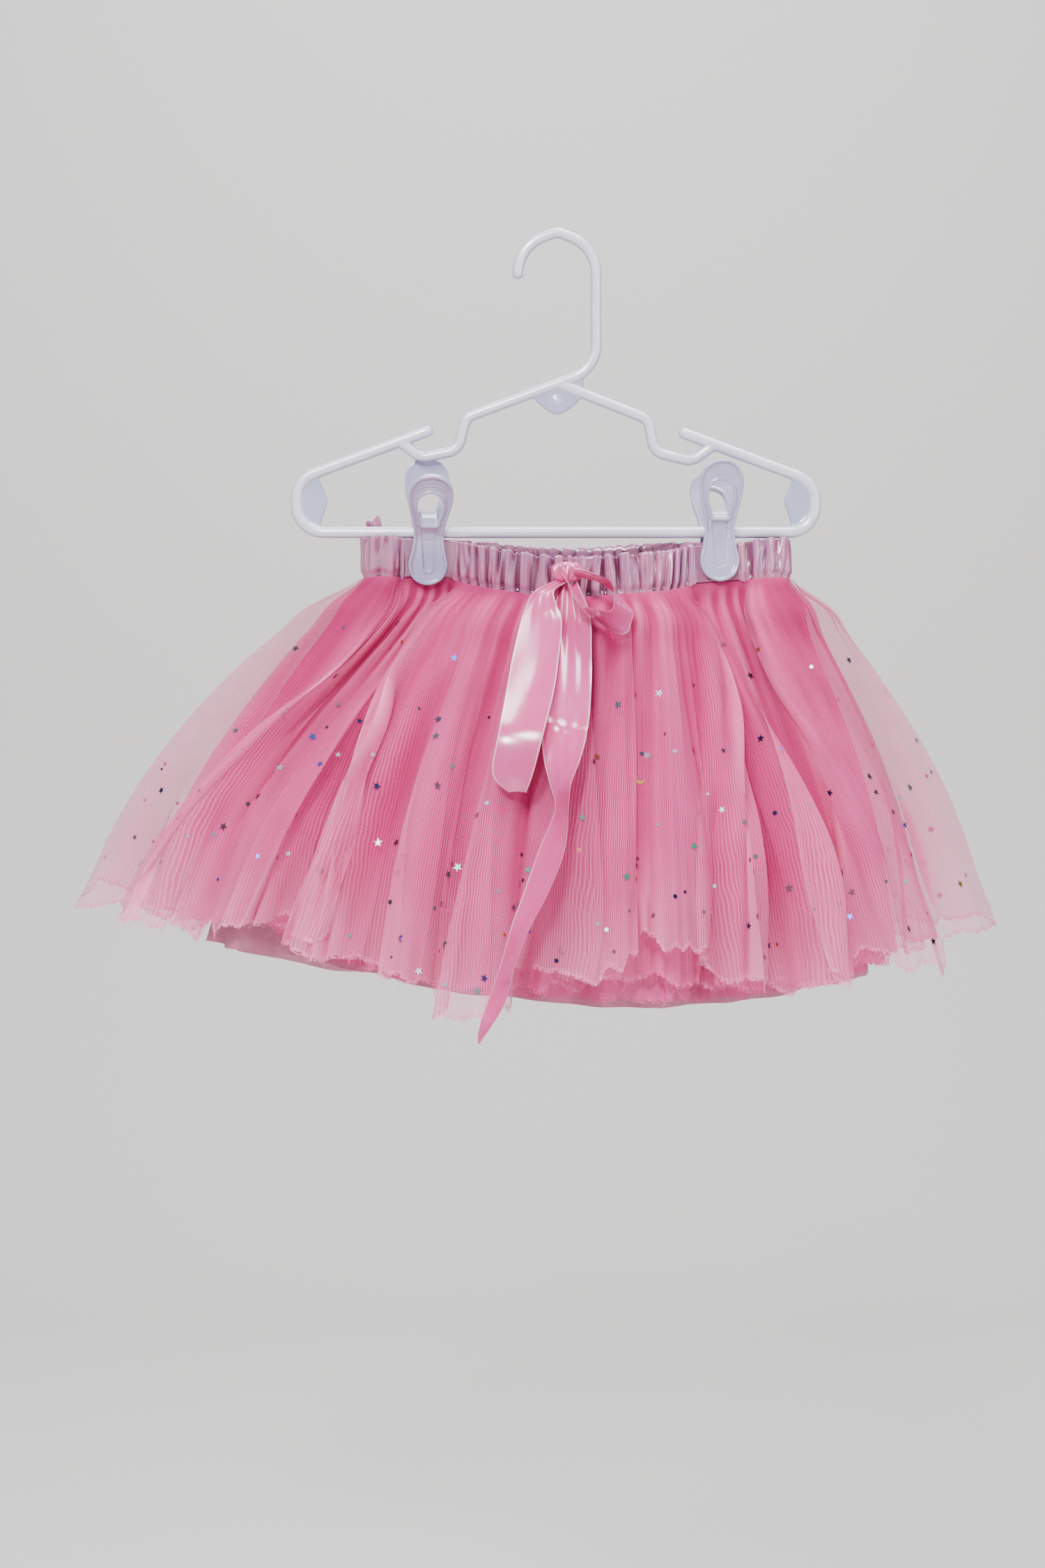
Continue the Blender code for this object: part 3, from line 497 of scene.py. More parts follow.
def middle_back(x, z):
    """How far back the waist's middle plane lies, as the two clips hold it."""
    (_, left, left_tilt, yaw), (_, right, right_tilt, _) = CLIPS
    part = ease((x - left - PINCH_HALF_WIDTH) / (right - left - 2 * PINCH_HALF_WIDTH))
    slope = math.tan(left_tilt) * (1 - part) + math.tan(right_tilt) * part
    down = BAR_Z - z
    below = np.maximum(down, JAW_LENGTH) - JAW_LENGTH
    past = JAW_LENGTH + CASING_WALL * (1 - np.exp(-below / CASING_WALL))
    turned = 0.0
    for centre in (left, right):
        held = 1 - ease((np.abs(x - centre) - PINCH_HALF_WIDTH) / PINCH_FADE)
        turned = turned + (x - centre) * math.tan(yaw) * held
    return slope * np.where(down > JAW_LENGTH, past, down) + turned


def waist_ring():
    """Fine points round the casing's inside: x, y from the middle plane, top edge and frill."""
    fine = np.array(round_outline(WAIST, 8, closed=False))
    fine[1:-1, 1] = np.maximum(fine[1:-1, 1], PINCH_HALF)
    front = np.stack([fine[:, 0], -fine[:, 1], fine[:, 2], 0 * fine[:, 4]], 1)
    back = np.stack([fine[:, 0], fine[:, 1], fine[:, 3], fine[:, 4]], 1)[-2:0:-1]
    return np.vstack([front, back])


def even(ring, count):
    """Evenly spaced rows round a closed ring, by its length in plan."""
    closed = np.vstack([ring, ring[:1]])
    steps = np.hypot(*np.diff(closed[:, :2], axis=0).T)
    passed = np.concatenate([[0.0], np.cumsum(steps)])
    wanted = np.arange(count) / count * passed[-1]
    return np.stack([np.interp(wanted, passed, column) for column in closed.T], 1)


def outward(plan, spread):
    """Unit vectors out of a ring that runs left, front, right, back, evened over some points."""
    along = np.roll(plan, -1, 0) - np.roll(plan, 1, 0)
    out = np.stack([along[:, 1], -along[:, 0]], 1)
    out /= np.linalg.norm(out, axis=1, keepdims=True) + 1e-12
    total = sum(np.roll(out, step, 0) for step in range(-spread, spread + 1))
    return total / np.linalg.norm(total, axis=1, keepdims=True)


def slow(turn, swells, seed):
    """A smooth random wave round the skirt, mostly from -1 to 1, with this many swells."""
    rng = np.random.default_rng(seed)
    first = max(1, swells // 2)
    total = 0.0
    for k in range(first, swells + 1):
        total = total + rng.normal() * np.cos(2 * math.pi * (k * turn + rng.random()))
    return 0.8 * total / math.sqrt(swells + 1 - first)


def pleats(turn, down, count, seed, wander=0.3):
    """Uneven folds, about -1 to 1: their places drift and their heights differ."""
    place = count * turn + 0.6 * slow(turn, 9, seed) + 0.25 * slow(turn, count // 3, seed + 1)
    place = place + wander * down * slow(turn, 13, seed + 2)
    height = np.clip(0.7 + 0.5 * slow(turn + 0.03 * down, count // 4, seed + 3), 0.3, 1.4)
    return height * np.cos(2 * math.pi * place)


def sheet_mesh(name, rows, values, closed=True):
    """A sheet through rows of points, with named values at its points for the material."""
    rows = np.asarray(rows, float)
    down, count = rows.shape[:2]
    index = np.arange(down * count).reshape(down, count)
    right = np.roll(index, -1, 1) if closed else index[:, 1:]
    left = index if closed else index[:, :-1]
    faces = np.stack([left[:-1], left[1:], right[1:], right[:-1]], -1).reshape(-1, 4)
    mesh = bpy.data.meshes.new(name)
    mesh.from_pydata(rows.reshape(-1, 3).tolist(), [], faces.tolist())
    for key, value in values.items():
        attribute = mesh.attributes.new(key, "FLOAT", "POINT")
        spread = np.broadcast_to(value, (down, count)).astype(np.float32)
        attribute.data.foreach_set("value", spread.ravel())
    mesh.polygons.foreach_set("use_smooth", [True] * len(mesh.polygons))
    return add_object(name, mesh)


ring = even(waist_ring(), CASING_COLUMNS)
turn = np.arange(CASING_COLUMNS) / CASING_COLUMNS
out = outward(ring[:, :2], 5)
free = 1 - pinch_at(ring[:, 0])
ruched = [ease((np.abs(ring[:, 0] - clip_x) - JAW_REACH) / JAW_FADE) for _, clip_x, _, _ in CLIPS]
ruched = np.minimum(*ruched)
casing_rows = []
casing_gather = []
# Round the tube's section: how far down, and which part of the wall's thickness
section = [(1.010, 0.5)] + [(1.0 - k / 7, 0.0) for k in range(8)]
section += [(-0.012, 0.15), (-0.028, 0.5), (-0.012, 0.85)]
section += [(k / 22, 1.0) for k in range(23)] + [(1.010, 0.5)]
for down, part in section:
    gather = 0.35 + 0.75 * pleats(turn, down, GATHERS, 11)
    gather = gather + 0.35 * pleats(turn, down, 2 * GATHERS + 9, 23, 0.8)
    crisp = np.clip(np.sign(gather) * np.abs(gather) ** 0.7, -1.1, 1.2)
    # The elastic pulls the middle in; the stitched bottom is flat and the top edge flares
    puff = 0.90 - 0.25 * math.exp(-(((down - 0.93) / 0.08) ** 2))
    height = 0.0021 * (1 - 0.5 * ease((down - 0.84) / 0.16))
    thick = CASING_WALL * (1 - free * (1 - puff * 0.86))
    wall = thick + height * crisp * ruched * (0.4 + 0.6 * free)
    inner = 0.0003 * crisp * free
    groove = -0.00035 * math.exp(-(((down - 0.86) / 0.02) ** 2)) * free
    away = inner + (wall + groove - inner) * part
    z = ring[:, 2] - down * CASING_HEIGHT
    edge = ease(1 - down / 0.5)
    z = z - 0.0016 * ease((down - 0.6) / 0.4) * ruched * np.clip(0.5 + 0.5 * crisp, 0, 1)
    z = z + edge * free * (0.0011 * crisp + ring[:, 3] * (1 + 0.25 * slow(turn, 160, 5)))
    x = ring[:, 0] + out[:, 0] * away
    y = ring[:, 1] + out[:, 1] * away + middle_back(ring[:, 0], z)
    casing_rows.append(np.stack([x, y, z], 1))
    casing_gather.append(0.5 + 0.5 * crisp * ruched)
casing = sheet_mesh("casing", casing_rows, {"gather": np.array(casing_gather)})


def shot_satin(name, warp, weft, roughness, thread, gloss=1.0, valley=None):
    """Satin woven from two colours: floats across the roll, sheen in the second colour."""
    made, tree, shader = new_material(
        name,
        {"Roughness": roughness, "IOR": 1.6, "Sheen Weight": 0.1, "Sheen Roughness": 0.35,
         "Sheen Tint": linear(weft), "Specular IOR Level": gloss},
    )
    place = add_node(tree, "ShaderNodeTexCoord", "Object")
    # The two colours drift in clouds of about 10 mm
    cloud = add_node(tree, "ShaderNodeTexNoise", "Fac", {"Vector": place, "Scale": 95.0})
    tint = add_node(
        tree, "ShaderNodeMix", 2, {0: cloud, 6: linear(warp), 7: linear(weft)}, data_type="RGBA"
    )
    if valley:
        # Painted shade: the colour darkens towards the valley colour inside the gathers
        gather = add_node(tree, "ShaderNodeAttribute", "Fac", attribute_name="gather")
        depth = add_node(
            tree, "ShaderNodeMapRange", "Result",
            {"Value": gather, "From Min": 0.22, "From Max": 0.8},
        )
        tint = add_node(
            tree, "ShaderNodeMix", 2, {0: depth, 6: linear(valley), 7: tint}, data_type="RGBA"
        )
    tree.links.new(tint, shader.inputs["Base Color"])
    # Weft floats, drawn at this spacing so that they show
    floats = add_node(
        tree, "ShaderNodeTexWave", "Fac",
        {"Vector": place, "Scale": WAVE_SPAN / thread, "Distortion": 1.5}, bands_direction="Z",
    )
    bump = add_node(
        tree, "ShaderNodeBump", "Normal", {"Height": floats, "Strength": 0.10, "Distance": 0.0001}
    )
    tree.links.new(bump, shader.inputs["Normal"])
    return made


# The valley colour #601C44 is painted shade inside the gathers
casing.data.materials.append(
    shot_satin("shot_satin_casing", "#CE6A8C", "#9A78A4", 0.2, 0.0009, valley="#601C44")
)
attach(casing, "root")
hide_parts("waistband")

# The lining is a flared tube of plain pink satin, sewn to the casing. It is the skirt's inmost
# wall and shows all along the hem, below the tulle.
FOLDS = 24
FOLD_DRIFTS = ((3, 0.55, 0.6), (7, 0.35, 0.0))
FOLD_SWELL = (5, 0.24, 2.1)
LAYER_STEP = 0.0015
CLOTH = 0.0010
SEAM_GAP = 0.0005
HEM_LEFT, HEM_RIGHT, HEM_FRONT, HEM_BACK = -0.188, 0.168, 0.068, 0.064

# Down the walls: part of the drop, part of the lining's reach, parts of the under and outer
# layers' spread, part of the folds' height, and how much of the clips' pinch is left
DRAPE = np.array([
    (0.000, 0.000, 0.00, 0.00, 0.03, 1.00),
    (0.035, 0.055, 0.05, 0.08, 0.06, 1.00),
    (0.120, 0.170, 0.22, 0.32, 0.15, 0.50),
    (0.320, 0.420, 0.55, 0.56, 0.38, 0.12),
    (0.620, 0.740, 0.85, 0.80, 0.70, 0.00),
    (1.000, 1.000, 1.00, 1.00, 1.00, 0.00),
])


def through(places, values, at):
    """Smooth values between the table's places, without overshoot."""
    slopes = np.diff(values) / np.diff(places)
    tangents = np.concatenate([slopes[:1], (slopes[1:] + slopes[:-1]) / 2, slopes[-1:]])
    k = np.clip(np.searchsorted(places, at, side="right") - 1, 0, len(places) - 2)
    width = places[k + 1] - places[k]
    t = (at - places[k]) / width
    return (
        values[k] * (1 + 2 * t) * (1 - t) ** 2 + values[k + 1] * t * t * (3 - 2 * t)
        + width * (tangents[k] * t * (1 - t) ** 2 - tangents[k + 1] * t * t * (1 - t))
    )


def wave_round(turn, wave):
    count, height, phase = wave
    return height * np.sin(2 * math.pi * count * turn + phase)


def main_folds(turn):
    """The large folds that all three walls share."""
    drift = sum(wave_round(turn, wave) for wave in FOLD_DRIFTS)
    size = 1 - FOLD_SWELL[1] + wave_round(turn, FOLD_SWELL)
    return size, 2 * math.pi * FOLDS * turn + drift


def hem_line(front, behind, turn, x):
    """The hem's height: by x along the front, and by part of the way round behind, in mm."""
    ahead, back = np.array(front), np.array(behind)
    low = np.where(
        turn < 0.5, np.interp(1000 * x, ahead[:, 0], ahead[:, 1]),
        np.interp(turn, back[:, 0], back[:, 1]),
    )
    return sum(np.roll(low, step) for step in range(-4, 5)) / 9 / 1000


def hem_oval(count):
    angle = 2 * math.pi * np.arange(360) / 360
    depth = np.where(np.sin(angle) > 0, HEM_FRONT, HEM_BACK)
    middle, half = (HEM_LEFT + HEM_RIGHT) / 2, (HEM_RIGHT - HEM_LEFT) / 2
    return even(np.stack([middle - half * np.cos(angle), -depth * np.sin(angle)], 1), count)


def drape(columns, lines, place, spreads, growth, fold_height, hem, detail):
    """Rows of points from the casing to the hem, and how edge-on and how far out each is."""
    ring = even(waist_ring(), columns)
    oval = hem_oval(columns)
    turn = np.arange(columns) / columns
    x, top = ring[:, 0], ring[:, 2] - CASING_HEIGHT - SEAM_GAP
    size, phase = main_folds(turn)
    spread = sum(spreads) / 2 + (spreads[0] - spreads[1]) / 2 * np.cos(4 * math.pi * turn)
    reached = oval + outward(oval, 4) * spread[:, None]
    low = hem_line(*hem, turn, reached[:, 0])
    rows, steep, ridge = [], [], []
    for down in np.linspace(0, 1, lines):
        reach, grown, fold, pinch = (
            through(DRAPE[:, 0], DRAPE[:, column], down) for column in (1, growth, 4, 5)
        )
        loose = 1 - pinch_at(x) * pinch
        plan = ring[:, :2] + (oval - ring[:, :2]) * (reach * loose)[:, None]
        out = outward(plan, columns // 120)
        along = np.stack([-out[:, 1], out[:, 0]], 1)
        rise, slide, drop = detail(turn, down)
        away = CLOTH / 2 + place * LAYER_STEP
        swell = fold_height * fold * size * np.cos(phase) + rise
        away = away + (grown * spread + swell) * loose
        plan = plan + out * away[:, None] + along * (slide * loose)[:, None]
        z = top + down * (low + drop - top)
        y = plan[:, 1] + middle_back(x, z) * (1 - reach * loose)
        rows.append(np.stack([plan[:, 0], y, z], 1))
        ahead = np.roll(plan, -1, 0) - np.roll(plan, 1, 0)
        plain = np.maximum(np.abs((ahead * along).sum(1)), 1e-5)
        steep.append(np.clip(np.hypot(*ahead.T) / plain, 1, 5))
        height = (swell - swell.mean()) / (fold_height * fold + 0.003)
        ridge.append(np.clip(0.5 + 0.5 * height, 0, 1))
    return np.array(rows), np.array(steep), np.array(ridge)


def waist_gathers(turn, down):
    """The gathers that all the walls share below the casing, in metres out."""
    fade = ease(down / 0.05) * math.exp(-((down / 0.36) ** 2))
    return 0.0060 * fade * pleats(turn, down, 34, 31, 0.5)


def tucks(turn, down, count, around, seed):
    """Crisp overlaps at uneven places: how far the cloth slides along and lifts there."""
    rng = np.random.default_rng(seed)
    slide, lift = 0 * turn, 0 * turn
    for k in range(count):
        spot, curl, middle = (k + rng.random()) / count, 0.008 * rng.normal(), rng.random()
        width, size = 0.003 + 0.003 * rng.random(), 0.5 + 0.9 * rng.random()
        side = rng.choice((-1, 1))
        size = size * math.exp(-(((down - 0.35 - 0.6 * middle) / 0.35) ** 2))
        away = (turn - spot - curl * down**2 + 0.5) % 1 - 0.5
        bend = away * around / width
        bend = bend * np.exp(-bend * bend / 2)
        slide = slide - 2.7 * width * size * bend
        lift = lift + side * 0.45 * width * size * bend
    return slide, lift


def lining_detail(turn, down):
    soft = ease(down / 0.3)
    fine = 0.0016 * (1 - 0.5 * down) * ease(down / 0.05) * pleats(turn, down, 58, 41)
    fine = fine + 0.4 * waist_gathers(turn, down)
    return fine + 0.0010 * soft * slow(turn, 30, 43), 0 * turn, 0.0012 * slow(turn, 14, 45)


LINING_HEM = (
    ((-190, -385), (-165, -388), (-130, -391), (-96, -400), (-63, -406.6), (-30, -410.5),
     (-9, -412.5), (20, -416), (63, -416), (109, -412), (150, -406), (170, -402)),
    ((0.5, -402), (0.6, -408), (0.75, -414), (0.9, -404), (1.0, -385)),
)


def wall_values(rows, steep, ridge):
    """Where each point lies on the cloth: metres round and down, part of the drop, and slant."""
    lines, columns = rows.shape[:2]
    hem = np.hypot(*np.diff(rows[-1][:, :2], axis=0, append=rows[-1][:1, :2]).T).sum()
    fall = np.cumsum(np.linalg.norm(np.diff(rows, axis=0, prepend=rows[:1]), axis=2), axis=0)
    round_it = np.broadcast_to(np.arange(columns) / columns * hem, (lines, columns))
    down = np.broadcast_to(np.linspace(0, 1, lines)[:, None], (lines, columns))
    return {"around": round_it, "fall": fall, "down": down, "steep": steep, "ridge": ridge}


lining_rows, *lining_values = drape(
    columns=960, lines=52, place=0, spreads=(0.0, 0.0), growth=1, fold_height=0.0050,
    hem=LINING_HEM, detail=lining_detail,
)
lining = sheet_mesh("lining_wall", lining_rows, wall_values(lining_rows, *lining_values))
lining.data.materials.append(
    shot_satin("pink_satin_lining", "#D27E9C", "#DC94AE", 0.42, 0.0011, 0.5)
)
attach(lining, "root")
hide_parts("lining")

# The under layer is plain nylon tulle, doubled and gathered on to the casing. Its net is dense,
# so it gives the skirt its body colour. It falls in two thicknesses, a close one that ends just
# above the lining's hem and a looser one over it.
NET_PITCH = 0.0017
ROW_PITCH = 0.0015
UNDER_HEM = (
    ((-205, -372), (-176, -373), (-155, -372), (-146, -376), (-135, -386), (-96, -397),
     (-63, -404), (-30, -408), (0, -410), (20, -411), (63, -412), (109, -409), (150, -402),
     (182, -392)),
    ((0.5, -392), (0.62, -402), (0.75, -408), (0.9, -394), (1.0, -372)),
)
FLY_HEM = (
    ((-232, -366), (-195, -374), (-176, -372), (-150, -371), (-140, -376), (-128, -384),
     (-96, -394), (-60, -402), (-30, -405), (0, -404), (40, -398), (60, -402), (90, -405),
     (120, -404), (150, -397), (180, -390), (208, -384)),
    ((0.5, -384), (0.62, -392), (0.75, -398), (0.9, -386), (1.0, -366)),
)


def tulle(name, colour, valley_shade, thread, veil, lines):
    """Nylon net: it veils more where it is edge-on and along its wavy threads, and it frays."""
    made, tree, shader = new_material(
        name,
        {"Roughness": 0.6, "Specular IOR Level": 0.08, "Sheen Weight": 0.04,
         "Sheen Roughness": 0.3, "Sheen Tint": linear("#FFA0C8")},
    )
    around, fall, steep, down, ridge = (
        add_node(tree, "ShaderNodeAttribute", "Fac", attribute_name=key)
        for key in ("around", "fall", "steep", "down", "ridge")
    )
    cloth = add_node(tree, "ShaderNodeCombineXYZ", "Vector", {"X": around, "Y": fall})
    # Ribs and knit rows of the net, drawn coarser than real so that they show
    ribs, rows = (
        add_node(
            tree, "ShaderNodeTexWave", "Fac",
            {"Vector": cloth, "Scale": WAVE_SPAN / pitch, "Distortion": waver, "Detail": 1.0,
             "Detail Scale": fine},
            bands_direction=way,
        )
        for pitch, waver, fine, way in ((NET_PITCH, 4.5, 0.3, "X"), (ROW_PITCH, 7.0, 0.8, "Y"))
    )
    rows = add_node(tree, "ShaderNodeMath", "Value", {0: rows, 1: 0.5}, operation="MULTIPLY")
    ribs = add_node(tree, "ShaderNodeMath", "Value", {0: ribs, 1: 1.6}, operation="POWER")
    threads = add_node(tree, "ShaderNodeMath", "Value", {0: ribs, 1: rows}, operation="MAXIMUM")
    # Opacity of one net, with its threads, and with clouds of about 33 mm
    cloud = add_node(
        tree, "ShaderNodeTexNoise", "Fac", {"Vector": cloth, "Scale": 30.0, "Detail": 1.0}
    )
    base = add_node(
        tree, "ShaderNodeMath", "Value", {0: threads, 1: lines, 2: veil - lines / 3},
        operation="MULTIPLY_ADD",
    )
    base = add_node(
        tree, "ShaderNodeMath", "Value", {0: cloud, 1: 0.24, 2: base}, operation="MULTIPLY_ADD",
        use_clamp=True,
    )
    hole = add_node(tree, "ShaderNodeMath", "Value", {0: 1.12, 1: base}, operation="SUBTRACT")
    seen = add_node(tree, "ShaderNodeMath", "Value", {0: hole, 1: steep}, operation="POWER")
    hem = add_node(
        tree, "ShaderNodeMapRange", "Result",
        {"Value": down, "From Min": 0.985, "From Max": 0.991, "To Max": 0.4},
    )
    left = add_node(
        tree, "ShaderNodeMath", "Value", {0: seen, 1: hem}, operation="SUBTRACT", use_clamp=True
    )
    cover = add_node(tree, "ShaderNodeMath", "Value", {0: 1.0, 1: left}, operation="SUBTRACT")
    # Below the last whole thread the net frays into gaps of about 2 mm
    gaps = add_node(tree, "ShaderNodeTexNoise", "Fac", {"Vector": cloth, "Scale": 520.0})
    gap = add_node(
        tree, "ShaderNodeMapRange", "Result",
        {"Value": gaps, "From Min": 0.44, "From Max": 0.54, "To Min": 1.0, "To Max": 0.0},
    )
    frayed = add_node(
        tree, "ShaderNodeMapRange", "Result",
        {"Value": down, "From Min": 0.988, "From Max": 0.996, "To Max": 0.95},
    )
    gone = add_node(tree, "ShaderNodeMath", "Value", {0: gap, 1: frayed}, operation="MULTIPLY")
    kept = add_node(tree, "ShaderNodeMath", "Value", {0: 1.0, 1: gone}, operation="SUBTRACT")
    alpha = add_node(
        tree, "ShaderNodeMath", "Value", {0: cover, 1: kept}, operation="MULTIPLY", use_clamp=True
    )
    tree.links.new(alpha, shader.inputs["Alpha"])
    # Painted shade: the colour darkens to the valley shade colour in the fold valleys, most by the
    # waist under the casing, and the threads are the lightest
    height = add_node(
        tree, "ShaderNodeMath", "Value", {0: down, 1: 0.45, 2: -0.30}, operation="MULTIPLY_ADD"
    )
    height = add_node(
        tree, "ShaderNodeMath", "Value", {0: ridge, 1: 1.15, 2: height},
        operation="MULTIPLY_ADD", use_clamp=True,
    )
    tint = add_node(
        tree, "ShaderNodeMix", 2, {0: height, 6: linear(valley_shade), 7: linear(colour)},
        data_type="RGBA",
    )
    # The flounce pales towards its hem, where fewer folds lie behind one another
    low = add_node(
        tree, "ShaderNodeMapRange", "Result",
        {"Value": down, "From Min": 0.72, "From Max": 1.0, "To Max": 0.75},
    )
    tint = add_node(
        tree, "ShaderNodeMix", 2, {0: low, 6: tint, 7: linear("#D67A9C")}, data_type="RGBA"
    )
    # Where the net folds over on itself its threads crowd into a light line
    crowd = add_node(
        tree, "ShaderNodeMapRange", "Result",
        {"Value": steep, "From Min": 1.4, "From Max": 3.0, "To Max": 0.9},
    )
    bright = add_node(tree, "ShaderNodeMath", "Value", {0: threads, 1: crowd}, operation="MAXIMUM")
    # Painted shade: the threads' light colour is held back in the fold valleys, so the ridges show
    # lighter
    reached = add_node(tree, "ShaderNodeMapRange", "Result", {"Value": height, "To Min": 0.25})
    bright = add_node(
        tree, "ShaderNodeMath", "Value", {0: bright, 1: reached}, operation="MULTIPLY"
    )
    tint = add_node(
        tree, "ShaderNodeMix", 2, {0: bright, 6: tint, 7: linear(thread)}, data_type="RGBA"
    )
    tree.links.new(tint, shader.inputs["Base Color"])
    return made


def calm(turn):
    """1 round the skirt, and less in front, where the bow's ribbons lie on the folds."""
    return 1 - 0.45 * np.exp(-(((turn - 0.258) / 0.05) ** 4))


def under_detail(turn, down):
    grown = ease(down / 0.25)
    slide, lift = tucks(turn, down, 14, 0.55 + 0.4 * down, 301)
    puff = 0.0030 * math.exp(-(((down - 0.06) / 0.05) ** 2))
    rise = 0.0020 * grown * pleats(turn, down, 52, 51, 0.8)
    rise = rise + 0.0013 * ease(down / 0.05) * (1 - 0.75 * down) * pleats(turn, down, 150, 57)
    rise = rise + waist_gathers(turn, down)
    return (puff + rise + 0.7 * lift) * calm(turn), 0.7 * slide, 0.0018 * slow(turn, 46, 61)


under_rows, *under_values = drape(
    columns=1080, lines=60, place=1, spreads=(0.012, 0.020), growth=2, fold_height=0.0080,
    hem=UNDER_HEM, detail=under_detail,
)
under = sheet_mesh("under_tulle_wall", under_rows, wall_values(under_rows, *under_values))
# A4004E is the painted shade in the fold valleys
under.data.materials.append(
    tulle("plain_nylon_tulle", "#DE0E7E", "#A4004E", "#E6449A", 0.90, 0.12)
)
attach(under, "root")
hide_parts("tulle_under")


def fly_detail(turn, down):
    grown = ease(down / 0.25)
    slide, lift = tucks(turn, down, 20, 0.55 + 0.45 * down, 401)
    puff = 0.0045 * math.exp(-(((down - 0.07) / 0.05) ** 2))
    rise = 0.0030 * grown * pleats(turn, down, 44, 91, 1.2)
    rise = rise + 0.0012 * ease(down / 0.05) * (1 - 0.8 * down) * pleats(turn, down, 140, 95)
    rise = rise + waist_gathers(turn, down)
    rise = rise + 0.0030 * ease((down - 0.8) / 0.2) * pleats(turn, down, 96, 613)
    return (puff + rise + lift) * calm(turn), slide, 0.0034 * slow(turn, 50, 97)


fly_rows, *fly_values = drape(
    columns=1080, lines=56, place=1.5, spreads=(0.029, 0.031), growth=3, fold_height=0.0095,
    hem=FLY_HEM, detail=fly_detail,
)
fly = sheet_mesh("under_tulle_fly", fly_rows, wall_values(fly_rows, *fly_values))
# B4005A is the painted shade in the fold valleys
fly.data.materials.append(
    tulle("loose_nylon_tulle", "#E21A82", "#B4005A", "#EE60A6", 0.42, 0.16)
)
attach(fly, "root")

# The outer layer is one sheer nylon net, gathered on to the casing and cut by hand, so its hem
# waves. A wide lobe of it swings forward at the left of the front.
OUTER_HEM = (
    ((-259, -354), (-250, -367), (-229, -362), (-207, -372), (-190, -379), (-176, -374),
     (-150, -370), (-138, -371), (-130, -380), (-112, -388), (-96, -394), (-67, -400),
     (-61, -413), (-54, -417), (-40, -416), (-26, -411), (-18, -393), (-5, -394), (3, -398),
     (17, -399), (27, -394), (43, -375), (55, -383), (67, -380), (77, -393), (92, -400),
     (115, -404), (136, -401), (151, -398), (160, -386), (171, -389), (193, -398),
     (203, -394), (214, -380), (237, -374)),
    ((0.5, -374), (0.6, -388), (0.7, -384), (0.8, -392), (0.9, -384), (1.0, -354)),
)
LOBE_X = -0.132


def outer_detail(turn, down):
    grown = ease((down - 0.03) / 0.3)
    slide, lift = tucks(turn, down, 30, 0.55 + 0.6 * down, 501)
    lean = np.clip(1.8 * slow(turn, 7, 503), -1, 1)
    slide = slide + 0.007 * grown * down * lean * np.sin(main_folds(turn)[1])
    puff = 0.0060 * math.exp(-(((down - 0.08) / 0.06) ** 2))
    rise = 0.0042 * grown * pleats(turn, down, 38, 71, 1.6)
    rise = rise + 0.0013 * ease(down / 0.05) * (1 - 0.85 * down) * pleats(turn, down, 150, 77)
    rise = rise + waist_gathers(turn, down)
    rise = rise + 0.0040 * ease((down - 0.8) / 0.2) * pleats(turn, down, 84, 611)
    # The lobe's folded edge, with the valley to the left of it
    bend = (turn - LOBE_TURN - 0.008 * (1 - down)) * 1.15 / 0.0075
    fold = bend * np.exp(-bend * bend / 2)
    size = ease((down - 0.02) / 0.3) * (0.3 + 0.7 * down)
    valley = np.exp(-(((turn - LOBE_TURN + 0.022) / 0.014) ** 2))
    slide = slide - 0.024 * size * fold
    lift = lift + 0.005 * size * fold - 0.008 * size * valley
    drop = 0.0030 * slow(turn, 56, 81) + 0.0018 * slow(turn, 150, 83)
    return (puff + rise + lift) * calm(turn), slide, drop


HEM_STEPS = 2000
hem_x = hem_oval(HEM_STEPS)
hem_x = (hem_x + outward(hem_x, 4) * 0.050)[: HEM_STEPS // 2, 0]
LOBE_TURN = np.argmin(np.abs(hem_x - LOBE_X)) / HEM_STEPS

outer_rows, *outer_values = drape(
    columns=1320, lines=68, place=2, spreads=(0.058, 0.044), growth=3, fold_height=0.0130,
    hem=OUTER_HEM, detail=outer_detail,
)
outer = sheet_mesh("star_tulle_wall", outer_rows, wall_values(outer_rows, *outer_values))
# BE0464 is the painted shade in the fold valleys
outer.data.materials.append(
    tulle("sheer_nylon_tulle", "#EA2C88", "#BE0464", "#FA94C4", 0.30, 0.18)
)
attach(outer, "root")
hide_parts("tulle_outer")

# Loose nylon threads hang from the cut hems of both kinds of net. They are yarn ends that the
# scissors freed, so most are short and only a few curl down below the net.
THREAD_WIDTH = 0.00016
THREAD_LEAST = 0.0012
THREAD_MEAN_EXTRA = 0.0022
THREAD_MOST = 0.016
UP = np.array([0, 0, 1])


def add_threads(name, wall, count, seed):
    """Loose threads along a wall's hem: thin curling strips, most of them short."""
    rng = np.random.default_rng(seed)
    hem, columns = wall[-1], wall.shape[1]
    spots, faces = [], []
    for _ in range(count):
        column = rng.integers(columns)
        start = hem[column] + (0, 0, 0.0008)
        along = hem[(column + 3) % columns] - hem[column - 3]
        along /= np.linalg.norm(along)
        long = min(THREAD_LEAST + THREAD_MEAN_EXTRA * rng.exponential(), THREAD_MOST)
        heading, curl = 0.9 * rng.normal(), 1.2 * rng.normal()
        first = len(spots)
        for k in range(4):
            part = k / 3
            lean = heading + curl * part
            fall = along * math.sin(lean) - UP * math.cos(lean)
            start = start + fall * long / 4
            side = along * math.cos(lean) + UP * math.sin(lean)
            half = side * THREAD_WIDTH * (1 - 0.6 * part) / 2
            spots += [start - half, start + half]
        for k in range(3):
            a = first + 2 * k
            faces.append((a, a + 2, a + 3, a + 1))
    mesh = bpy.data.meshes.new(name)
    mesh.from_pydata([tuple(spot) for spot in spots], [], faces)
    made = add_object(name, mesh)
    mesh.materials.append(thread_nylon)
    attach(made, "root")
    return made


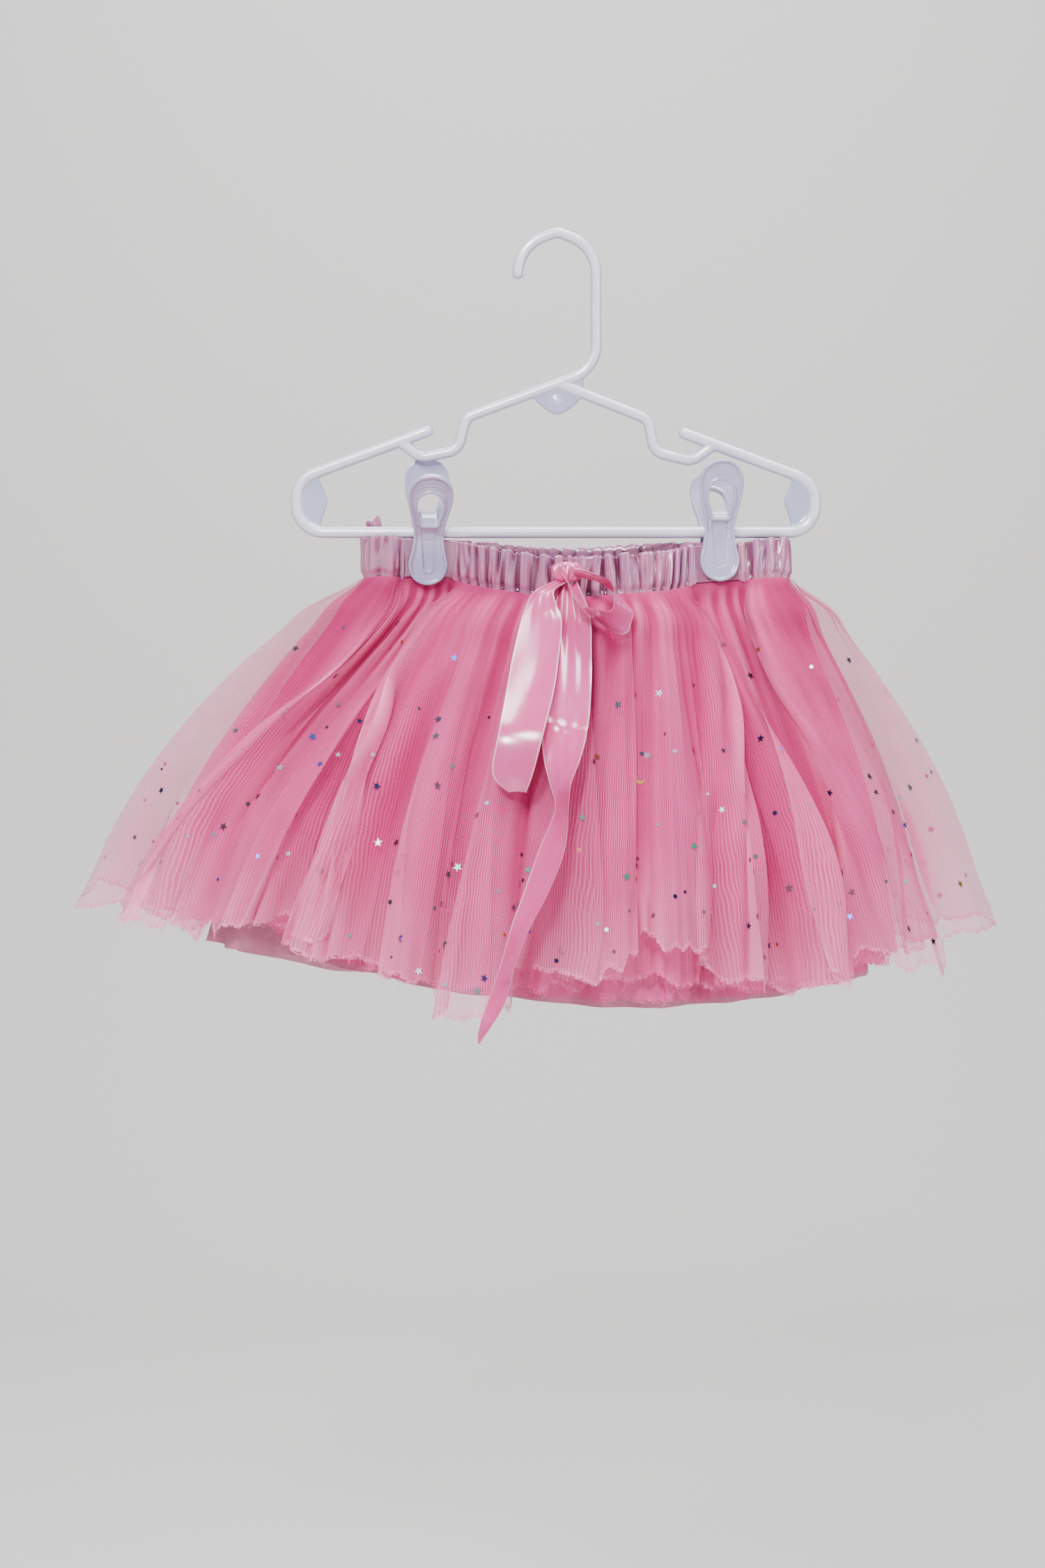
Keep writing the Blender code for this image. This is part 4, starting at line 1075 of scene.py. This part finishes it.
thread_nylon, _, _ = new_material(
    "pink_nylon_thread", {"Roughness": 0.5, "Base Color": linear("#F384AA")}
)
for name, wall, count, seed, slot in (
    ("hem_threads_star", outer_rows, 1100, 601, "star_tulle"),
    ("hem_threads_fly", fly_rows, 700, 603, "plain_tulle"),
    ("hem_threads_under", under_rows, 500, 605, "plain_tulle"),
):
    add_threads(name, wall, count, seed)

# Silver holographic sequins are heat-set all over the outer net: dots, five-pointed stars and a
# few crescents, each a flat foil that glints in its own hue.
SEQUINS = 420
SEQUIN_LIFT = 0.0004
SEQUIN_RADII = {"star": 0.0026, "dot": 0.0012, "crescent": 0.0024}
STARS_BELOW = 0.50
CRESCENTS_ABOVE = 0.96
FOIL_STOPS = (
    (0.0, "#8F939E"), (0.26, "#5C6170"), (0.44, "#A9AEBE"), (0.56, "#2E3660"),
    (0.68, "#4C66C8"), (0.76, "#4FA58C"), (0.84, "#C9A04E"), (0.90, "#3A3F4C"),
    (0.97, "#B0604A"),
)


def sequin_outline(kind, size):
    """The foil's outline as x and y about its middle."""
    if kind == "crescent":
        outline = [(0.0, size, angle) for angle in np.linspace(0.9, 5.4, 9)]
        outline += [(0.35 * size, 0.75 * size, angle) for angle in np.linspace(5.1, 1.2, 7)]
    else:
        dip = 0.42 * size if kind == "star" else size
        outline = [(0.0, dip if k % 2 else size, math.pi * k / 5) for k in range(10)]
    return [(aside + radius * math.cos(a), radius * math.sin(a)) for aside, radius, a in outline]


rng = np.random.default_rng(2026)
spots, faces, hues = [], [], []
lines, columns = outer_rows.shape[:2]
downs = np.sqrt(rng.random(SEQUINS) * 0.94 + 0.02)
turns = (np.arange(SEQUINS) + rng.random(SEQUINS)) / SEQUINS
rng.shuffle(downs)
for turned, low in zip(turns, downs):
    row = min(int(low * (lines - 1)), lines - 2)
    column = int(turned * columns) % columns
    beside = (column + 1) % columns
    spot = outer_rows[row, column]
    along = outer_rows[row, beside] - spot
    fall = outer_rows[row + 1, column] - spot
    out_way = np.cross(fall, along)
    out_way /= np.linalg.norm(out_way)
    along /= np.linalg.norm(along)
    along = along + rng.normal(size=3) * 0.12
    side = np.cross(out_way, along)
    side /= np.linalg.norm(side)
    flat_way = np.cross(side, out_way)
    draw = rng.random()
    kind = "star" if draw < STARS_BELOW else "dot"
    if draw > CRESCENTS_ABOVE:
        kind = "crescent"
    size = SEQUIN_RADII[kind] * (0.72 + 0.36 * rng.random())
    spin = rng.random() * 2 * math.pi
    first = len(spots)
    for x, y in sequin_outline(kind, size):
        u = x * math.cos(spin) - y * math.sin(spin)
        v = x * math.sin(spin) + y * math.cos(spin)
        spots.append(spot + out_way * SEQUIN_LIFT + flat_way * u + side * v)
    faces.append(list(range(first, len(spots))))
    hues.append(rng.random())
foil = bpy.data.meshes.new("sequins")
foil.from_pydata([tuple(spot) for spot in spots], [], faces)
hue = foil.attributes.new("hue", "FLOAT", "FACE")
hue.data.foreach_set("value", hues)
sequins = add_object("sequins", foil)
made, tree, shader = new_material("holographic_foil", {"Metallic": 1.0, "Roughness": 0.34})
glint = add_node(tree, "ShaderNodeAttribute", "Fac", attribute_name="hue")
tint = add_node(tree, "ShaderNodeValToRGB", "Color", {"Fac": glint})
ramp = tint.node.color_ramp
ramp.interpolation = "CONSTANT"
for element, (place, code) in zip(ramp.elements, FOIL_STOPS):
    element.position, element.color = place, linear(code)
for place, code in FOIL_STOPS[2:]:
    ramp.elements.new(place).color = linear(code)
tree.links.new(tint, shader.inputs["Base Color"])
foil.materials.append(made)
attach(sequins, "root")

# The bow is one 25 mm satin ribbon with a white picot edge, tied and sewn to the casing. The
# long tail twists as it falls, the short one ends in a slanted cut, and the loop hangs right.
KNOT = (0.0050, -0.0255, -0.1842)
KNOT_SIZE = (0.0058, 0.0040, 0.0056)

# Down each band: its middle, and the vector from edge to edge
TAIL_BACK = (
    (0.0050, -0.0255, -0.1899, 0.0120, 0.0000, 0.0000),
    (0.0050, -0.0388, -0.2080, 0.0240, 0.0000, 0.0000),
    (0.0050, -0.0539, -0.2280, 0.0250, 0.0000, 0.0000),
    (0.0045, -0.0683, -0.2480, 0.0249, -0.0022, 0.0000),
    (0.0030, -0.0811, -0.2680, 0.0240, -0.0051, 0.0000),
    (0.0015, -0.0954, -0.2850, 0.0189, -0.0148, 0.0000),
    (0.0005, -0.1063, -0.2990, 0.0113, -0.0212, 0.0000),
    (0.0005, -0.1131, -0.3120, 0.0074, -0.0228, 0.0000),
    (-0.0045, -0.1193, -0.3320, 0.0120, -0.0208, 0.0000),
    (-0.0120, -0.1272, -0.3530, 0.0113, -0.0212, 0.0000),
    (-0.0200, -0.1334, -0.3710, 0.0098, -0.0219, 0.0000),
    (-0.0265, -0.1290, -0.3890, 0.0080, -0.0221, 0.0000),
    (-0.0315, -0.1275, -0.4060, 0.0081, -0.0183, 0.0000),
    (-0.0375, -0.1290, -0.4200, 0.0050, -0.0087, 0.0000),
    (-0.0410, -0.1273, -0.4290, 0.0010, -0.0017, 0.0000),
)
TAIL_FRONT = (
    (0.0020, -0.0273, -0.1896, 0.0060, 0.0000, 0.0000),
    (-0.0075, -0.0337, -0.1960, 0.0108, -0.0019, 0.0000),
    (-0.0090, -0.0401, -0.2040, 0.0167, -0.0030, 0.0000),
    (-0.0090, -0.0465, -0.2130, 0.0219, -0.0023, 0.0000),
    (-0.0122, -0.0605, -0.2330, 0.0245, 0.0000, 0.0000),
    (-0.0152, -0.0756, -0.2515, 0.0249, -0.0017, 0.0000),
    (-0.0197, -0.0926, -0.2720, 0.0233, -0.0033, 0.0000),
    (-0.0240, -0.0946, -0.2930, 0.0210, -0.0045, 0.0000),
    (-0.0215, -0.0929, -0.3030, 0.0088, -0.0019, 0.0000),
)
LOOP = (
    (0.0095, -0.0298, -0.1846, 0.0020, 0.0038, -0.0021),
    (0.0195, -0.0331, -0.1886, 0.0050, 0.0095, -0.0053),
    (0.0287, -0.0385, -0.1940, 0.0085, 0.0161, -0.0089),
    (0.0338, -0.0469, -0.2008, 0.0100, 0.0190, -0.0105),
    (0.0342, -0.0529, -0.2073, 0.0100, 0.0190, -0.0105),
    (0.0312, -0.0571, -0.2134, 0.0100, 0.0190, -0.0105),
    (0.0233, -0.0568, -0.2125, 0.0095, 0.0181, -0.0100),
    (0.0140, -0.0501, -0.2062, 0.0080, 0.0152, -0.0084),
    (0.0072, -0.0438, -0.1954, 0.0055, 0.0104, -0.0058),
    (0.0020, -0.0316, -0.1855, 0.0020, 0.0038, -0.0021),
)
# Across each band, closer together at its picot edges
BAND_COLUMNS = np.concatenate(
    [[-0.5, -0.484, -0.468], np.linspace(-0.44, 0.44, 15), [0.468, 0.484, 0.5]]
)


def ribbon_band(name, table, crown, crease, forward, bent, ripple):
    """A ribbon through the table's places, crowned across and creased near its gathered end.

    `bent` is how far along a crease crosses it, or -1 for none.
    """
    line = np.array(round_outline(table, 10, closed=False))
    spots, across = line[:, :3].copy(), line[:, 3:]
    spots[:, 1] -= forward * ease(np.linspace(0, 8, len(line))) * np.linspace(1, 0.3, len(line))
    along = np.gradient(spots, axis=0)
    out_way = np.cross(across, along)
    out_way /= np.linalg.norm(out_way, axis=1, keepdims=True) + 1e-9
    width = np.linalg.norm(across, axis=1, keepdims=True)
    part = np.linspace(0, 1, len(line))[:, None]
    rows = []
    for s in BAND_COLUMNS:
        lift = crown * (1 - 4 * s * s) * width
        lift = lift + crease * np.exp(-part / 0.16) * math.cos(2 * math.pi * 3.5 * s)
        lift = lift + ripple[0] * np.sin(2 * math.pi * (ripple[1] * part + 0.7 * s))
        lift = lift - 0.0010 * np.exp(-(((part - bent - 0.02 * s) / 0.006) ** 2))
        rows.append(spots + across * s + out_way * lift)
    rows = np.swapaxes(np.array(rows), 0, 1)
    along = np.concatenate([[0], np.cumsum(np.linalg.norm(np.diff(spots, axis=0), axis=1))])
    values = {"edge": np.abs(2 * BAND_COLUMNS)[None, :], "along": along[:, None]}
    return sheet_mesh(name, rows, values, closed=False)


ribbon_satin = shot_satin("pink_ribbon_satin", "#DA3C78", "#CE5CA0", 0.2, 0.0008)
# Loops of white thread stand along both edges, drawn coarser than real so that they show
PICOT_PITCH = 0.0014
tree = ribbon_satin.node_tree
edge, along = (
    add_node(tree, "ShaderNodeAttribute", "Fac", attribute_name=key) for key in ("edge", "along")
)
line = add_node(tree, "ShaderNodeCombineXYZ", "Vector", {"X": along})
loops = add_node(
    tree, "ShaderNodeTexWave", "Fac", {"Vector": line, "Scale": WAVE_SPAN / PICOT_PITCH},
    bands_direction="X",
)
rim = add_node(
    tree, "ShaderNodeMapRange", "Result",
    {"Value": edge, "From Min": 0.925, "From Max": 0.95, "To Max": 0.55},
)
picot = add_node(
    tree, "ShaderNodeMath", "Value", {0: loops, 1: 0.45, 2: 0.55}, operation="MULTIPLY_ADD"
)
picot = add_node(tree, "ShaderNodeMath", "Value", {0: picot, 1: rim}, operation="MULTIPLY")
base = tree.nodes["Principled BSDF"].inputs["Base Color"]
woven = base.links[0].from_socket
edged = add_node(
    tree, "ShaderNodeMix", 2, {0: picot, 6: woven, 7: linear("#FFF4F8")}, data_type="RGBA"
)
tree.links.new(edged, base)
for name, node, table, crown, crease, forward, bent, ripple, length in (
    ("ribbon_tail_back", "bow_tail_back", TAIL_BACK,
     0.05, 0.0012, 0.007, 0.29, (0.0006, 3.3), 0.275),
    ("ribbon_tail_front", "bow_tail_front", TAIL_FRONT,
     0.07, 0.0010, 0.009, -1, (0.0004, 2.3), 0.140),
    ("ribbon_loop", "bow_loop", LOOP, 0.04, 0.0014, 0.012, -1, (0.0005, 4.0), 0.085),
):
    band = ribbon_band(name, table, crown, crease, forward, bent, ripple)
    band.data.materials.append(ribbon_satin)
    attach(band, "root")
    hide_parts(node)

bpy.ops.mesh.primitive_uv_sphere_add(segments=72, ring_count=40, radius=1)
knot = bpy.context.object
knot.name = "ribbon_knot"
for vert in knot.data.vertices:
    x, y, z = vert.co
    angle = math.atan2(y, x)
    fold = 0.15 * math.cos(7 * angle + 1.2 * z) + 0.12 * math.cos(17 * angle - 1.6 * z)
    size = 1.08 + 0.34 * z * z + fold * math.sqrt(max(0.0, 1 - z * z))
    vert.co = (
        KNOT[0] + 1.25 * x * size * KNOT_SIZE[0],
        KNOT[1] + y * size * KNOT_SIZE[1],
        KNOT[2] + z * KNOT_SIZE[2],
    )
knot.data.materials.append(ribbon_satin)
choose(knot)
bpy.ops.object.shade_smooth()
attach(knot, "root")
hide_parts("bow_knot")

# The stage is a plain pale floor that sweeps up into a wall, in soft studio light, and the
# camera stands level with the skirt, straight in front, as in the photograph.
FLOOR_Z = -0.95
WALL_Y = 2.6
WALL_TOP = 6.0
STAGE_HALF = 12.0
SWEEP = 0.8

sweep_line = [(-STAGE_HALF, FLOOR_Z)]
for step in range(17):
    angle = math.pi / 2 * step / 16
    ahead, rise = SWEEP * math.sin(angle), SWEEP * math.cos(angle)
    sweep_line.append((WALL_Y - SWEEP + ahead, FLOOR_Z + SWEEP - rise))
sweep_line.append((WALL_Y, WALL_TOP))
sweep_rows = [[(x, y, z) for y, z in sweep_line] for x in (STAGE_HALF, -STAGE_HALF)]
stage = sheet_mesh("floor", sweep_rows, {}, closed=False)
paper, _, _ = new_material("pale_paper", {"Roughness": 0.9, "Base Color": linear("#DEDCD9")})
stage.data.materials.append(paper)

world = bpy.data.worlds.new("studio")
world.use_nodes = True
sky = world.node_tree.nodes["Background"]
sky.inputs["Color"].default_value = linear("#ECEAF4")
sky.inputs["Strength"].default_value = 0.45
bpy.context.scene.world = world


def add_light(name, place, size, power, aim=(0.0, 0.0, -0.28)):
    light = bpy.data.lights.new(name, "AREA")
    light.shape = "DISK"
    light.size = size
    light.energy = power
    lamp = add_object(name, light)
    lamp.location = place
    lamp.rotation_euler = (Vector(aim) - Vector(place)).to_track_quat("-Z", "Y").to_euler()


add_light("key_softbox", (-0.9, -1.7, 1.3), 0.8, 56)
add_light("flash", (-0.25, -2.0, 0.7), 0.22, 30)
add_light("top_softbox", (0.4, -0.2, 1.5), 1.0, 42)
add_light("fill_softbox", (1.6, -1.5, -0.1), 1.2, 14)
add_light("wall_softbox", (0.0, 0.9, 1.9), 1.6, 52, (0.0, 2.6, 0.1))

camera = add_object("camera", bpy.data.cameras.new("camera"))
camera.data.lens = 62.7
camera.data.sensor_width = 36
camera.location = (-0.019, -1.5, -0.2987)
camera.rotation_euler = (math.radians(90), 0, 0)
bpy.context.scene.camera = camera
